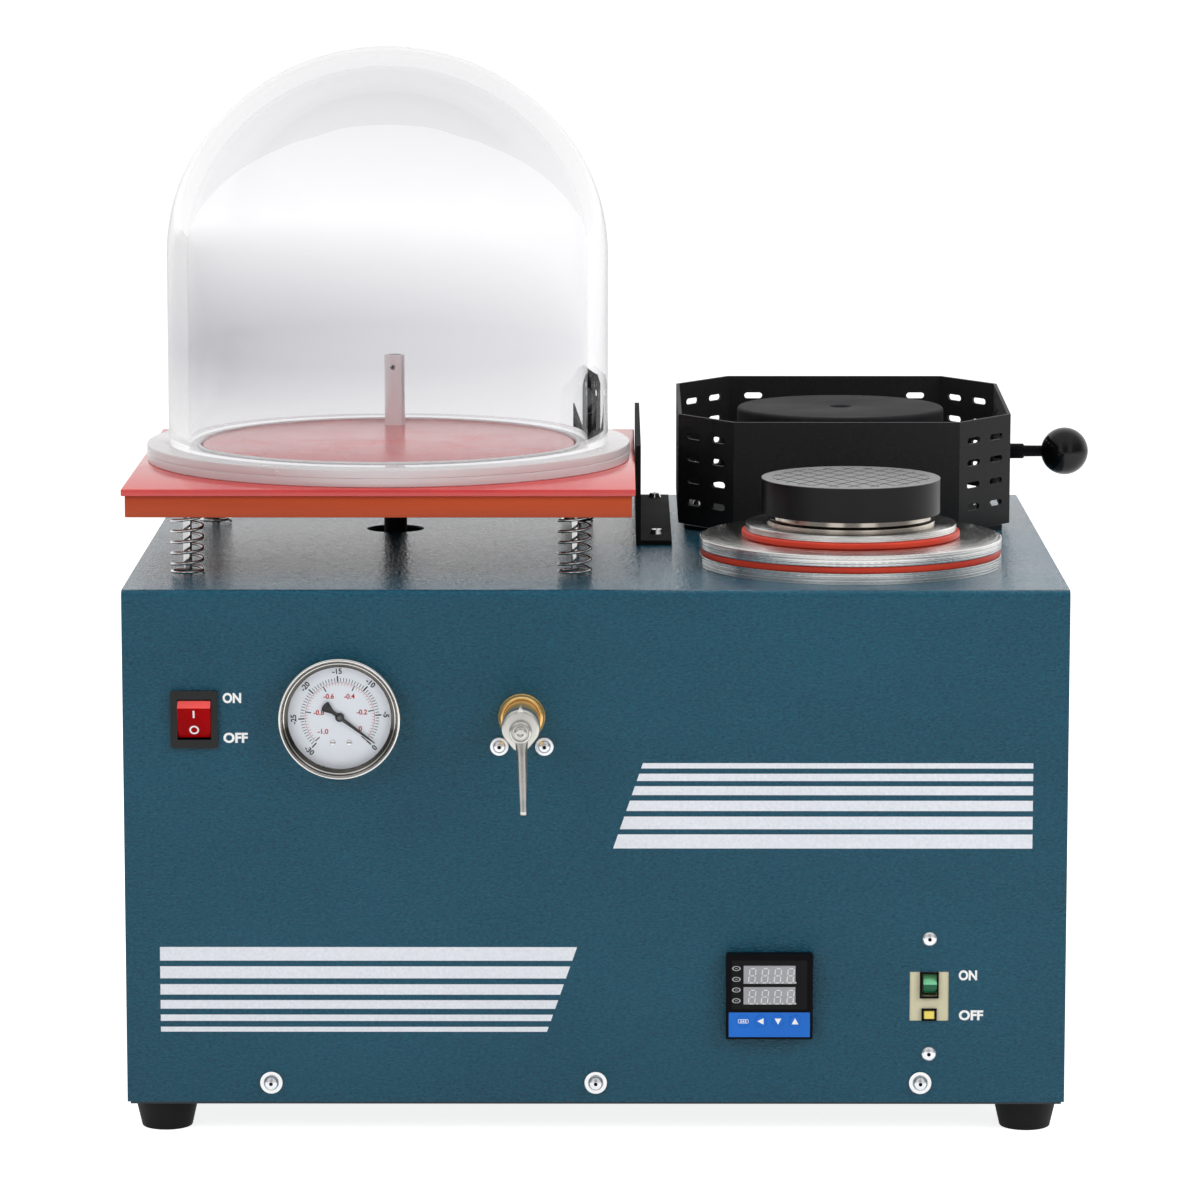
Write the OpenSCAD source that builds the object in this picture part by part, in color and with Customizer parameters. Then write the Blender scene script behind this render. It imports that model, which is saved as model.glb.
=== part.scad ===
// Bench-top vacuum casting machine: a steel cabinet with a sprung investment
// table and bell jar on the left, a casting chamber at the front right and a
// guarded melting furnace at the rear right. Millimetres, +Z up, front faces -Y.
// Inside each module x runs from the cabinet's centre line, y back from its
// front face and z up from its lower edge; at_cabinet() moves that to the origin.

/* [Frame] */
// From the part's origin to the cabinet's centre line
origin_x = 17; // [0:1:40]
// From the cabinet's front face back to the part's origin
origin_y = 177; // [150:1:210]

/* [Cabinet] */
// Width of the cabinet
cab_w = 520; // [510:1:560]
// Depth of the cabinet
cab_d = 406; // [404:1:440]
// Height of the cabinet without its feet
cab_h = 287; // [280:1:330]
// Sheet thickness of the cabinet
sheet = 1.5; // [1:0.1:2]
// Outer bend radius where the top folds into the front
bend_r = 4; // [3:0.5:8]
// Width of the flange that the rear panel is screwed to
flange_w = 14; // [12:1:20]
// Height of the base tray's lips
lip_h = 20; // [17:1:21]
// Height of the rubber feet
foot_h = 19; // [12:1:24]
// Diameter of a foot at the top
foot_top_d = 36; // [33:1:40]
// Diameter of a foot at the floor
foot_low_d = 28; // [24:1:30]
// Distance between feet, side to side
foot_pitch_x = 480; // [460:1:486]
// Distance of a foot's centre from the front and the rear
foot_inset = 25; // [22:1:40]
// Height of the cover screws above the cabinet's lower edge
cover_screw_z = 11; // [9:0.5:14]
// Distance between the cover screws along the front
cover_screw_pitch = 180; // [150:1:200]

/* [Fits and fasteners] */
// Radial gap of a turning or sliding fit
fit_gap = 0.05; // [0.03:0.01:0.08]
// Loose gap round a piece that drops into place
loose_gap = 0.5; // [0.3:0.1:1]
// Shank diameter of the case and top screws
screw_d = 4; // [3:0.5:5]
// Head diameter of the case and top screws
screw_head_d = 8; // [7:0.5:9]
// Head height of the case and top screws
screw_head_h = 2.6; // [2:0.2:3.4]
// Outer diameter of the washers under the front cover screws
washer_d = 12.4; // [11:0.2:14]
// Washer thickness
washer_t = 1; // [0.8:0.1:1.4]

/* [Investment table] */
// Side of the square table plate
plate_side = 280; // [260:1:290]
// Thickness of the table plate
plate_t = 12; // [10:0.5:16]
// Height of the plate's underside above the cabinet top
table_rise = 36.3; // [32:0.1:44]
// Centre of the table from the cabinet's centre line, to the left
table_left = 120; // [110:1:125]
// Centre of the table behind the front face
table_back = 169; // [160:1:180]
// How far the rubber pad stands past the plate
pad_overhang = 2; // [0:0.5:3]
// Thickness of the rubber pad
pad_t = 4; // [3:0.5:6]
// Gap between the pad's raised middle and the jar's foot ring
mat_gap = 1; // [0.5:0.5:6]
// Height of the raised middle above the pad
mat_h = 10; // [6:0.5:12]
// Distance between the springs, both ways
spring_pitch = 216; // [200:1:240]
// Outer diameter of a spring
spring_d = 19.4; // [17:0.2:22]
// Wire diameter of a spring
wire_d = 1.7; // [1.4:0.1:2.2]
// Working curls of a spring between its two closed end curls
spring_curls = 5; // [4:1:6]
// Diameter of the guide rods inside the springs
rod_d = 5; // [4:0.5:6]
// How far the table can be pressed down
table_travel = 6; // [3:0.5:8]
// Suction pipe's distance behind the table's centre
pipe_back = 82; // [70:1:92]
// Suction pipe's outer diameter
pipe_d = 12.2; // [10:0.2:14]
// Suction pipe's bore
pipe_bore = 8; // [6:0.5:9]
// Height of the pipe above the raised middle
pipe_rise = 41.5; // [30:0.5:60]
// Outer diameter of the rubber vacuum hoses
hose_d = 13.5; // [12:0.5:15]
// Bore of the rubber vacuum hoses
hose_bore = 8.4; // [7:0.2:9]
// Diameter of the hose hole in the cabinet top
hose_hole_d = 34; // [28:1:40]

/* [Bell jar] */
// Outer diameter of the jar's foot ring
ring_d = 278; // [272:1:282]
// Width of the foot ring, from its outer to its inner edge
ring_w = 30.5; // [28:0.5:31]
// Thickness of the foot ring
ring_t = 10; // [8:0.5:14]
// How far the foot ring stands out past the tube
ring_ledge = 12.5; // [10:0.5:15]
// Wall of the tube and dome
jar_wall = 11.5; // [8:0.5:14]
// Height of the tube's straight part above the pad
dome_z = 118; // [100:1:150]
// Height of the dome over the straight part
dome_h = 118.5; // [116:0.5:122]
// Jar centre behind the table's centre
jar_back = 3; // [0:0.5:3]

/* [Casting chamber] */
// Chamber centre right of the cabinet's centre line
chamber_right = 144; // [130:1:150]
// Chamber centre behind the front face
chamber_back = 107; // [95:1:112]
// Diameter of the chamber flange and of the adapter plate
flange_d = 171; // [160:1:180]
// Thickness of the chamber flange
flange_t = 6; // [5:0.5:8]
// Outer diameter of the chamber can
can_d = 140; // [130:1:145]
// Wall of the chamber can
can_wall = 2.5; // [2:0.5:4]
// Depth of the chamber below the cabinet top
can_depth = 176; // [150:1:185]
// Thickness of the red flange gasket
gasket_t = 3.6; // [3:0.2:5]
// Thickness of the adapter plate
adapter_t = 6.4; // [5:0.2:9]
// Flask bore through the adapter plate
adapter_bore = 100; // [90:1:104]
// Outer diameter of the red seal ring on the adapter
seal_d = 124; // [120:1:130]
// Thickness of that seal ring
seal_t = 3.5; // [2.5:0.5:5]
// Diameter of the plug plate
plug_d = 119.5; // [114:0.5:119.5]
// Thickness of the plug plate
plug_t = 4; // [3:0.5:6]
// Diameter of the polished neck
neck_d = 92; // [86:1:96]
// Height of the neck
neck_h = 6; // [4:0.5:9]
// Diameter of the black grooved pad
pad_disc_d = 101; // [97:1:106]
// Height of the black grooved pad
pad_disc_h = 19.5; // [16:0.5:24]
// Distance between the grooves in the pad's top
groove_pitch = 10; // [8:0.5:14]
// Width of a groove
groove_w = 1.2; // [1:0.2:2]
// Depth of a groove
groove_depth = 1; // [0.6:0.2:1.6]

/* [Furnace and guard] */
// Furnace centre right of the cabinet's centre line
furnace_right = 146; // [140:1:150]
// Furnace centre behind the front face
furnace_back = 305; // [300:1:305]
// Outer diameter of the furnace sleeve
sleeve_d = 120; // [110:1:124]
// Wall of the furnace sleeve
sleeve_wall = 2; // [1.5:0.5:3]
// How far the sleeve stands above the cabinet top
sleeve_rise = 53; // [40:1:56]
// How far the sleeve hangs below the cabinet top
sleeve_drop = 190; // [170:1:220]
// Diameter of the furnace lid
lid_d = 124; // [122:1:130]
// Thickness of the furnace lid
lid_t = 14; // [10:0.5:16]
// Diameter of the lid's middle hole
lid_hole_d = 11; // [8:0.5:14]
// Outer diameter of the crucible at its rim
crucible_d = 64; // [56:1:66]
// Wall of the crucible
crucible_wall = 7; // [5:0.5:9]
// Height of the crucible
crucible_h = 120; // [90:1:130]
// Width of the octagonal guard, outside
guard_w = 196; // [190:1:196]
// Depth of the octagonal guard, outside
guard_depth = 185; // [180:1:188]
// Length of a chamfer along x and along y
guard_chamfer = 32; // [28:1:38]
// Height of the guard's wall
guard_h = 65; // [55:1:75]
// Sheet thickness of the guard
guard_t = 2; // [1.5:0.5:2.5]
// Angle at which the closed guard leans forward
guard_lean = 2.3; // [0:0.1:4]
// Gap between the guard's lower front edge and its base plate
guard_gap = 0.6; // [0.4:0.1:2]
// Thickness of the guard's base plate
base_t = 2.5; // [2:0.5:5]
// Width of a vent slot
slot_w = 3.8; // [3:0.2:5]
// Length of a vent slot
slot_l = 11; // [8:0.5:14]
// Distance between slots along a wall
slot_pitch = 20; // [17:0.5:22]
// Distance between rows of slots
row_pitch = 13.2; // [11:0.2:14]
// Hinge barrel diameter
barrel_d = 8; // [7:0.5:9]
// Hinge pin diameter
pin_d = 4; // [3:0.5:5]
// Distance between the two hinges
hinge_pitch = 96; // [80:1:110]
// Diameter of the handle's ball
ball_d = 28.4; // [24:0.2:34]
// Distance from the guard's wall to the ball's centre
ball_reach = 37; // [32:1:44]
// Diameter of the handle's rod
handle_d = 6.5; // [5:0.5:8]

/* [Heat shield] */
// Length of the heat shield from front to rear
shield_len = 223; // [200:1:223]
// Height of its blade
shield_h = 58; // [45:1:70]
// Width of its foot
shield_w = 20.8; // [18:0.2:20.8]
// Its sheet thickness
shield_t = 2.8; // [2:0.2:3]

/* [Front panel] */
// Distance of the switch, gauge and valve below the cabinet top
row_below_top = 70; // [62:1:82]
// Pump switch left of the centre line
switch_left = 220.5; // [215:0.5:224]
// Width of the switch bezel
switch_w = 26; // [24:0.5:28]
// Height of the switch bezel
switch_h = 32; // [30:0.5:34]
// Tilt of the rocker to either side
rocker_tilt = 10; // [6:1:11]
// Gauge left of the centre line
gauge_left = 140.5; // [136:0.5:144]
// Outer diameter of the gauge bezel
gauge_d = 67.4; // [63:0.2:68]
// Length of the gauge's pointer from its pivot
pointer_l = 24; // [20:0.5:26]
// Angle of the scale's zero below the horizontal
zero_angle = 37; // [30:1:45]
// Valve left of the centre line
valve_left = 40.6; // [36:0.2:48]
// Diameter of the valve's brass nut
valve_nut_d = 26; // [24:0.5:28]
// Diameter of the valve's barrel
valve_barrel_d = 20; // [18:0.5:21]
// Diameter of the lever's pointed cap
cap_d = 21; // [19:0.5:23]
// Length of the lever from the valve's axis
lever_l = 46; // [40:1:56]
// Controller right of the centre line
ctl_right = 96; // [90:1:104]
// Height of the controller's centre
ctl_z = 61; // [56:1:66]
// Side of the controller's square front
ctl_side = 48; // [46:0.5:52]
// How far the controller stands out of the panel
ctl_proud = 6; // [4:0.5:9]
// Travel of a controller key
key_travel = 0.3; // [0.2:0.1:0.4]
// Breaker right of the centre line
brk_right = 184.6; // [180:0.2:190]
// Height of the breaker's centre
brk_z = 60; // [56:0.5:64]
// Width of the breaker's window
brk_w = 21.6; // [20:0.2:24]
// Height of the breaker's window
brk_h = 27.8; // [26:0.2:30]
// Distance between the breaker's two screws
brk_pitch = 65; // [60:1:70]

/* [Hidden] */
$fn = 64;

cut = 1;                        // how far a cutter runs past a face
table_z = cab_h + table_rise;   // underside of the table plate
pad_z = table_z + plate_t;      // underside of the rubber pad
jar_z = pad_z + pad_t;          // underside of the bell jar
row_z = cab_h - row_below_top;  // height of the switch, gauge and valve
ring_id = ring_d - 2 * ring_w;
mat_d = ring_id - 2 * mat_gap;
jar_d = ring_d - 2 * ring_ledge; // outer diameter of the tube and dome
shoulder_r = 112;               // radius of the dome's shoulder
table_pos = [-table_left, table_back];
jar_pos = table_pos + [0, jar_back];
pipe_pos = table_pos + [0.5, pipe_back];
chamber_pos = [chamber_right, chamber_back];
furnace_pos = [furnace_right, furnace_back];
spring_places = [for (i = [-1, 1]) for (j = [-1, 1]) table_pos + [i, j] * spring_pitch / 2];
hole_d = screw_d + 2 * fit_gap;
cover_screw_places = [for (i = [-1:1]) i * cover_screw_pitch];
side_screw_places = [70, cab_d - 70];
foot_places = [for (i = [-1, 1]) for (y = [foot_inset, cab_d - foot_inset])
    [i * foot_pitch_x / 2, y]];

// ---------------------------------------------------------------- helpers

module at_cabinet() translate([-origin_x, -origin_y, foot_h]) children();

// A cylinder along y from y0 to y1, its axis through x and z of the place
module rod_y(d, y0, y1) translate([0, y0, 0]) rotate([-90, 0, 0]) cylinder(d = d, h = y1 - y0);

module rod_x(d, x0, x1) translate([x0, 0, 0]) rotate([0, 90, 0]) cylinder(d = d, h = x1 - x0);

module ring(od, id, h) difference() {
    cylinder(d = od, h = h);
    translate([0, 0, -cut]) cylinder(d = id, h = h + 2 * cut);
}

// A flat outline in x and z, given thickness along y from y0 to y1
module panel_y(y0, y1) translate([0, y1, 0]) rotate([90, 0, 0]) linear_extrude(y1 - y0) children();

// A flat outline in y and z, given width along x from x0 to x1
module panel_x(x0, x1) translate([x0, 0, 0]) rotate([90, 0, 90]) linear_extrude(x1 - x0) children();

module round_rect(w, h, r) union() {
    square([w - 2 * r, h], center = true);
    square([w, h - 2 * r], center = true);
    for (i = [-1, 1]) for (j = [-1, 1])
        translate([i * (w / 2 - r), j * (h / 2 - r)]) circle(r);
}

// A screw along +z from its seat at z = 0, the head below the seat
module screw(length, shank = screw_d, head = screw_head_d, head_h = screw_head_h) {
    difference() {
        translate([0, 0, -head_h]) cylinder(d1 = head * 0.72, d2 = head, h = head_h);
        for (a = [0, 90]) rotate(a)
            translate([-head * 0.28, -head * 0.06, -head_h - cut])
                cube([head * 0.56, head * 0.12, cut + head_h * 0.45]);
    }
    cylinder(d = shank, h = length);
}

// One closed tube swept along points; u and v are the frame's normals at each point
function unit(a) = a / norm(a);
function tangents(p) = [for (i = [0:len(p) - 1])
    unit(p[min(i + 1, len(p) - 1)] - p[max(i - 1, 0)])];
function side_of(t) = unit(cross(t, abs(t[2]) > 0.9 ? [0, 1, 0] : [0, 0, 1]));
function carry(t, i = 0, out = []) = i == len(t) ? out :
    let (last = i == 0 ? side_of(t[0]) : out[i - 1],
         u = unit(last - t[i] * (last * t[i])))
    carry(t, i + 1, concat(out, [u]));

module sweep(p, u, v, r, sides) {
    n = len(p);
    pts = [for (i = [0:n - 1]) for (k = [0:sides - 1])
        p[i] + r * (cos(360 * k / sides) * u[i] + sin(360 * k / sides) * v[i])];
    walls = [for (i = [0:n - 2]) for (k = [0:sides - 1])
        let (a = i * sides + k, b = i * sides + (k + 1) % sides)
        each [[a, a + sides, b], [b, a + sides, b + sides]]];
    start = [for (k = [1:sides - 2]) [0, k, k + 1]];
    end = [for (k = [1:sides - 2]) let (e = (n - 1) * sides) [e, e + k + 1, e + k]];
    polyhedron(concat(pts), concat(walls, start, end));
}

module hose_along(p, d, sides) {
    t = tangents(p);
    u = carry(t);
    v = [for (i = [0:len(p) - 1]) cross(t[i], u[i])];
    sweep(p, u, v, d / 2, sides);
}

// ---------------------------------------------------------------- cabinet

module case_outline() union() {
    translate([bend_r, 0]) square([cab_d - bend_r, cab_h]);
    square([cab_d, cab_h - bend_r]);
    translate([bend_r, cab_h - bend_r]) circle(bend_r);
}

module case_inside() union() {
    translate([bend_r, -cut]) square([cab_d - bend_r + cut, cab_h - sheet + cut]);
    translate([sheet, -cut]) square([cab_d, cab_h - bend_r + cut]);
    translate([bend_r, cab_h - bend_r]) circle(bend_r - sheet);
}

module rear_opening() difference() {
    translate([-cab_w / 2 + sheet, 0]) square([cab_w - 2 * sheet, cab_h - sheet]);
    translate([-cab_w / 2 + sheet + flange_w, -cut])
        square([cab_w - 2 * (sheet + flange_w), cab_h - sheet - flange_w + cut]);
}

module front_cutouts() {
    translate([-switch_left, row_z - 1.5]) square([switch_w - 4, switch_h - 4], center = true);
    translate([-gauge_left, row_z]) circle(d = case_d + 0.5);
    translate([-valve_left, row_z]) circle(d = valve_barrel_d + 2 * loose_gap);
    for (i = [-1, 1]) translate([-valve_left + i * valve_screw_x, row_z - valve_screw_drop])
        circle(d = hole_d);
    translate([ctl_right, ctl_z]) square(ctl_side - 3, center = true);
    translate([brk_right, brk_z]) square([brk_w, brk_h], center = true);
    for (i = [-1, 1]) translate([brk_right, brk_z + i * brk_pitch / 2]) circle(d = hole_d);
    for (x = cover_screw_places) translate([x, cover_screw_z]) circle(d = hole_d);
}

module top_cutouts() {
    translate(pipe_pos) circle(d = hose_hole_d);
    for (p = spring_places) translate(p) circle(d = rod_d + 2 * loose_gap);
    translate(chamber_pos) circle(d = can_d + 2 * loose_gap);
    translate(furnace_pos) circle(d = sleeve_d + 2 * loose_gap);
    for (p = concat(shield_screw_places, base_screw_places)) translate(p) circle(d = hole_d);
}

module rear_screw_places() for (i = [-1, 1]) for (z = [60, cab_h - 60])
    translate([i * (cab_w / 2 - sheet - flange_w / 2), z]) children();

module cabinet_shell() at_cabinet() color([0.17, 0.33, 0.41]) difference() {
    union() {
        panel_x(-cab_w / 2 + sheet, cab_w / 2 - sheet)
            difference() { case_outline(); case_inside(); }
        for (x = [-cab_w / 2, cab_w / 2 - sheet]) panel_x(x, x + sheet) case_outline();
        panel_y(cab_d - 2 * sheet, cab_d - sheet) difference() {
            rear_opening();
            rear_screw_places() circle(d = hole_d);
        }
    }
    panel_y(-cut, 2 * sheet) front_cutouts();
    translate([0, 0, cab_h - 2 * sheet]) linear_extrude(3 * sheet) top_cutouts();
    for (y = side_screw_places) translate([0, y, cover_screw_z])
        rod_x(hole_d, -cab_w / 2 - cut, cab_w / 2 + cut);
}

module base_tray() at_cabinet() color([0.10, 0.16, 0.20]) {
    w = cab_w - 2 * sheet - 2 * fit_gap;
    y0 = sheet + fit_gap;
    d = cab_d - 2 * sheet - fit_gap - y0;
    difference() {
        translate([-w / 2, y0, -sheet]) cube([w, d, sheet + lip_h]);
        translate([-w / 2 + sheet, y0 + sheet, 0]) cube([w - 2 * sheet, d - 2 * sheet, lip_h + cut]);
        for (x = cover_screw_places) translate([x, 0, cover_screw_z]) rod_y(hole_d, 0, 3 * sheet + cut);
        for (y = side_screw_places) translate([0, y, cover_screw_z]) rod_x(hole_d, -cab_w, cab_w);
        for (p = concat(foot_places, pump_bolt_places)) translate([p[0], p[1], -sheet - cut])
            cylinder(d = hole_d, h = 2 * sheet + cut);
    }
}

module louvre_outline(w) for (i = [0:7]) translate([0, i * 12]) union() {
    square([w - 4, 4], center = true);
    for (j = [-1, 1]) translate([j * (w - 4) / 2, 0]) circle(2);
}

module rear_panel() at_cabinet() color([0.17, 0.33, 0.41]) {
    w = cab_w - 2 * sheet - 2 * fit_gap;
    difference() {
        panel_y(cab_d - sheet, cab_d) difference() {
            translate([-w / 2, 0]) square([w, cab_h - sheet - fit_gap]);
            for (x = [-130, 0, 130]) translate([x, 110]) louvre_outline(90);
            rear_screw_places() circle(d = hole_d);
            translate(inlet_pos) square([inlet_w - 4, inlet_h - 4], center = true);
        }
    }
}

module rubber_feet() at_cabinet() color([0.05, 0.05, 0.05]) for (p = foot_places)
    translate([p[0], p[1], -foot_h]) difference() {
        cylinder(d1 = foot_low_d, d2 = foot_top_d, h = foot_h - sheet);
        translate([0, 0, -cut]) cylinder(d = foot_low_d - 12, h = foot_h / 2 + cut);
        translate([0, 0, -cut]) cylinder(d = hole_d, h = foot_h + cut);
    }

cover_screw_l = 10;
side_screw_l = 9;
rear_screw_l = 8;

// Cover screws with washers, and the screws of the rear panel, feet and pump
module case_screws() at_cabinet() color([0.75, 0.76, 0.78]) {
    for (x = cover_screw_places) translate([x, 0, cover_screw_z]) {
        translate([0, -washer_t, 0]) rotate([-90, 0, 0]) screw(cover_screw_l);
        rotate([90, 0, 0]) ring(washer_d, hole_d, washer_t);
    }
    for (y = side_screw_places) for (i = [-1, 1])
        translate([i * cab_w / 2, y, cover_screw_z]) rotate([0, -i * 90, 0]) screw(side_screw_l);
    translate([0, cab_d, 0]) rotate([90, 0, 0]) rear_screw_places() screw(rear_screw_l);
    for (p = foot_places) translate([p[0], p[1], -foot_h / 2]) screw(foot_h / 2 + 3);
    for (p = pump_bolt_places) translate([p[0], p[1], -sheet]) screw(sheet + foot_t);
}

// Screws of the heat shield and of the furnace base, driven from above
module top_screws() at_cabinet() color([0.75, 0.76, 0.78]) {
    for (p = shield_screw_places) translate([p[0], p[1], cab_h + shield_t])
        rotate([180, 0, 0]) screw(shield_t + sheet + 4);
    for (p = base_screw_places) translate([p[0], p[1], cab_h + base_t])
        rotate([180, 0, 0]) screw(base_t + sheet + 4);
}

// ---------------------------------------------------------------- pump switch

switch_pos = [-switch_left, 0, row_z - 1.5];
switch_in_w = 18.4;              // opening for the rocker
switch_in_h = 22.4;
switch_pivot_y = 2;
rocker_pin_d = 3;

module pump_switch_body() at_cabinet() translate(switch_pos) color([0.06, 0.06, 0.06]) difference() {
    union() {
        panel_y(-2, 0) round_rect(switch_w, switch_h, 1.5);
        panel_y(0, 26) square([switch_w - 4 - 2 * fit_gap, switch_h - 4 - 2 * fit_gap], center = true);
        for (z = [-7, 0, 7]) translate([-3, 26, z - 0.4]) cube([6, 9, 0.8]);
    }
    panel_y(-2 - cut, 17) square([switch_in_w, switch_in_h], center = true);
    translate([0, switch_pivot_y, 0])
        rod_x(rocker_pin_d + 2 * fit_gap, -switch_in_w / 2 - 1.2, switch_in_w / 2 + 1.2);
}

module pump_switch_rocker() at_cabinet() translate(switch_pos) color([0.8, 0.05, 0.06])
    translate([0, switch_pivot_y, 0]) rotate([rocker_tilt, 0, 0]) {
        panel_x(-9, 9) polygon([[-7.2, 10.3], [-5.6, 4], [-5.2, 0], [-5.6, -4], [-7.2, -10.3],
            [-2, -9.4], [4, -5], [4, 5], [-2, 9.4]]);
        rod_x(rocker_pin_d, -switch_in_w / 2 - 1, switch_in_w / 2 + 1);
    }

// ---------------------------------------------------------------- vacuum gauge

gauge_pos = [-gauge_left, 0, row_z];
case_d = gauge_d - 7.4;          // gauge case behind the panel
dial_y = -1.2;                   // front of the dial
glass_y = -6;                    // front of the glass

module gauge_case() at_cabinet() translate(gauge_pos) color([0.55, 0.55, 0.56]) difference() {
    union() {
        rod_y(case_d, -1.8, 27);
        rod_y(20, 27, 32);
        rod_y(13, 32, 46);
    }
    rod_y(case_d - 2.4, -2, 25.5);
    rod_y(5, 25, 47);
}

module gauge_dial() at_cabinet() translate(gauge_pos) color([0.93, 0.95, 0.97]) difference() {
    union() {
        rod_y(case_d - 2.5, dial_y, dial_y + 0.8);
        rod_y(14, dial_y + 0.8, 12);
    }
    rod_y(2 + 2 * fit_gap, dial_y - cut, 9);
}

module gauge_needle() at_cabinet() translate(gauge_pos) color([0.03, 0.03, 0.03]) {
    rotate([0, zero_angle, 0]) panel_y(dial_y - 1.8, dial_y - 1.2) union() {
        polygon([[0, -1.1], [pointer_l * 0.8, -0.5], [pointer_l, -0.2], [pointer_l, 0.2],
            [pointer_l * 0.8, 0.5], [0, 1.1]]);
        polygon([[0, -1], [-5, -1.1], [-10.2, -3.2], [-11, -1.6], [-11.2, 0], [-11, 1.6],
            [-10.2, 3.2], [-5, 1.1], [0, 1]]);
        circle(d = 5);
    }
    rod_y(3.2, dial_y - 2.8, dial_y - 1.5);
    rod_y(2, dial_y - 1.5, 8);
}

module gauge_lens() at_cabinet() translate(gauge_pos) color([0.85, 0.9, 0.95, 0.3])
    rod_y(case_d - 2.2, glass_y, glass_y + 1.5);

module gauge_bezel() at_cabinet() translate(gauge_pos) color([0.72, 0.72, 0.72])
    rotate([90, 0, 0]) rotate_extrude() polygon([
        [case_d / 2 + fit_gap, 0], [gauge_d / 2, 0], [gauge_d / 2, 9], [gauge_d / 2 - 0.6, 9.8],
        [gauge_d / 2 - 1.6, 10], [gauge_d / 2 - 2.3, 9.4], [case_d / 2 - 1.7, 6.7],
        [case_d / 2 - 1.7, -glass_y],
        [case_d / 2 - 1, -glass_y], [case_d / 2 - 1, 1.9], [case_d / 2 + fit_gap, 1.9]]);

// ---------------------------------------------------------------- three-way valve

valve_pos = [-valve_left, 0, row_z];
valve_screw_x = 12.2;
valve_screw_drop = 17;
stem_d = 8;
barb_d = hose_bore;
barb_y = 26;                     // depth of the side ports behind the panel
port_reach = 30;                 // length of a port from the valve's axis
cap_y = -40;                     // front of the pointed cap

module valve_body() at_cabinet() translate(valve_pos) color([0.78, 0.6, 0.25]) difference() {
    union() {
        rod_y(valve_barrel_d, -30, sheet);
        rod_y(30, sheet, 44);
        panel_y(sheet, sheet + 2.5) translate([0, -valve_screw_drop / 2])
            round_rect(2 * valve_screw_x + 12, valve_screw_drop + 28, 3);
        translate([0, barb_y, 0]) rod_x(barb_d, -port_reach, port_reach);
        rod_y(barb_d, 44, 44 + 18);
        translate([0, barb_y, -port_reach]) cylinder(d = barb_d, h = port_reach);
    }
    rod_y(stem_d + 2 * fit_gap, -30 - cut, 38);
    for (i = [-1, 1]) translate([i * valve_screw_x, 0, -valve_screw_drop]) rod_y(hole_d, 0, 6);
}

module valve_nut() at_cabinet() translate(valve_pos) color([0.8, 0.58, 0.2])
    rotate([90, 0, 0]) rotate_extrude() polygon([
        [valve_barrel_d / 2 + fit_gap, 0], [valve_nut_d / 2, 0], [valve_nut_d / 2, 1.4],
        [valve_nut_d / 2 - 1, 2.2], [valve_nut_d / 2 - 1, 4.4], [valve_nut_d / 2 - 2, 5.4],
        [valve_barrel_d / 2 + fit_gap, 5.4]]);

module valve_stem() at_cabinet() translate(valve_pos) color([0.7, 0.7, 0.7])
    rod_y(stem_d, cap_y + 1, 36);

// The cap's rim is drawn down to a point under the lever, with a small pointer on top
module valve_cap() at_cabinet() translate(valve_pos) color([0.75, 0.74, 0.72]) difference() {
    union() {
        panel_y(cap_y + 1, -30.6) circle(d = cap_d);
        panel_y(cap_y + 1, cap_y + 5) polygon([[-8.6, -6.1], [8.6, -6.1], [3, -12.6], [-3, -12.6]]);
        panel_y(cap_y + 1, cap_y + 3) polygon([[-2.2, 9], [2.2, 9], [0, 13]]);
    }
    rod_y(stem_d + 2 * fit_gap, cap_y - cut, -30);
}

module valve_lever() at_cabinet() translate(valve_pos) color([0.78, 0.77, 0.75]) {
    panel_y(cap_y - 4, cap_y + 1) union() {
        circle(d = 11);
        polygon([[-4.6, -3], [4.6, -3], [2.2, -10], [-2.2, -10]]);
    }
    panel_x(-2.1, 2.1) polygon([[cap_y + 1, -8], [cap_y - 4, -8], [cap_y - 5, -16],
        [cap_y - 10, -lever_l + 8], [cap_y - 10, -lever_l], [cap_y - 7, -lever_l],
        [cap_y - 7, -lever_l + 8], [cap_y - 1, -16]]);
    translate([0, cap_y - 4, 0]) rod_y(8, -1.6, 0);
}

module valve_screws() at_cabinet() color([0.8, 0.8, 0.8]) for (i = [-1, 1])
    translate(valve_pos + [i * valve_screw_x, 0, -valve_screw_drop])
        rotate([-90, 0, 0]) difference() {
            union() {
                cylinder(d = screw_d, h = 9);
                translate([0, 0, -3]) cylinder(d1 = 6.6, d2 = 9.8, h = 2);
                translate([0, 0, -1]) cylinder(d = 9.8, h = 1);
            }
            translate([0, 0, -3 - cut]) cylinder(d = 3.4, h = cut + 1.6, $fn = 6);
        }

// ---------------------------------------------------------------- temperature controller

ctl_pos = [ctl_right, 0, ctl_z];
keypad_h = 14;                   // blue strip along the lower edge
keypad_z = -ctl_side / 2 + 1.2;  // its lower edge
key_x = [-14.4, -4.8, 4.8, 14.2];
key_d = 6.4;
face_y = -ctl_proud;
ctl_depth = 70;
glass_w = 42;
glass_h = 28;
glass_up = 6.6;                  // of the window's middle above the front's middle
digits_w = 28;
digits_h = 10;
keypad_w = 45;

module controller_case() at_cabinet() translate(ctl_pos) color([0.07, 0.07, 0.08]) difference() {
    union() {
        panel_y(face_y, 0) round_rect(ctl_side, ctl_side, 1);
        panel_y(0, ctl_depth) square(ctl_side - 3 - 2 * fit_gap, center = true);
    }
    panel_y(face_y - cut, face_y + 0.8) translate([0, glass_up]) square([glass_w, glass_h], center = true);
    panel_y(face_y - cut, face_y + 1.2) translate([0, keypad_z + keypad_h / 2])
        square([keypad_w, keypad_h], center = true);
}

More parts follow.
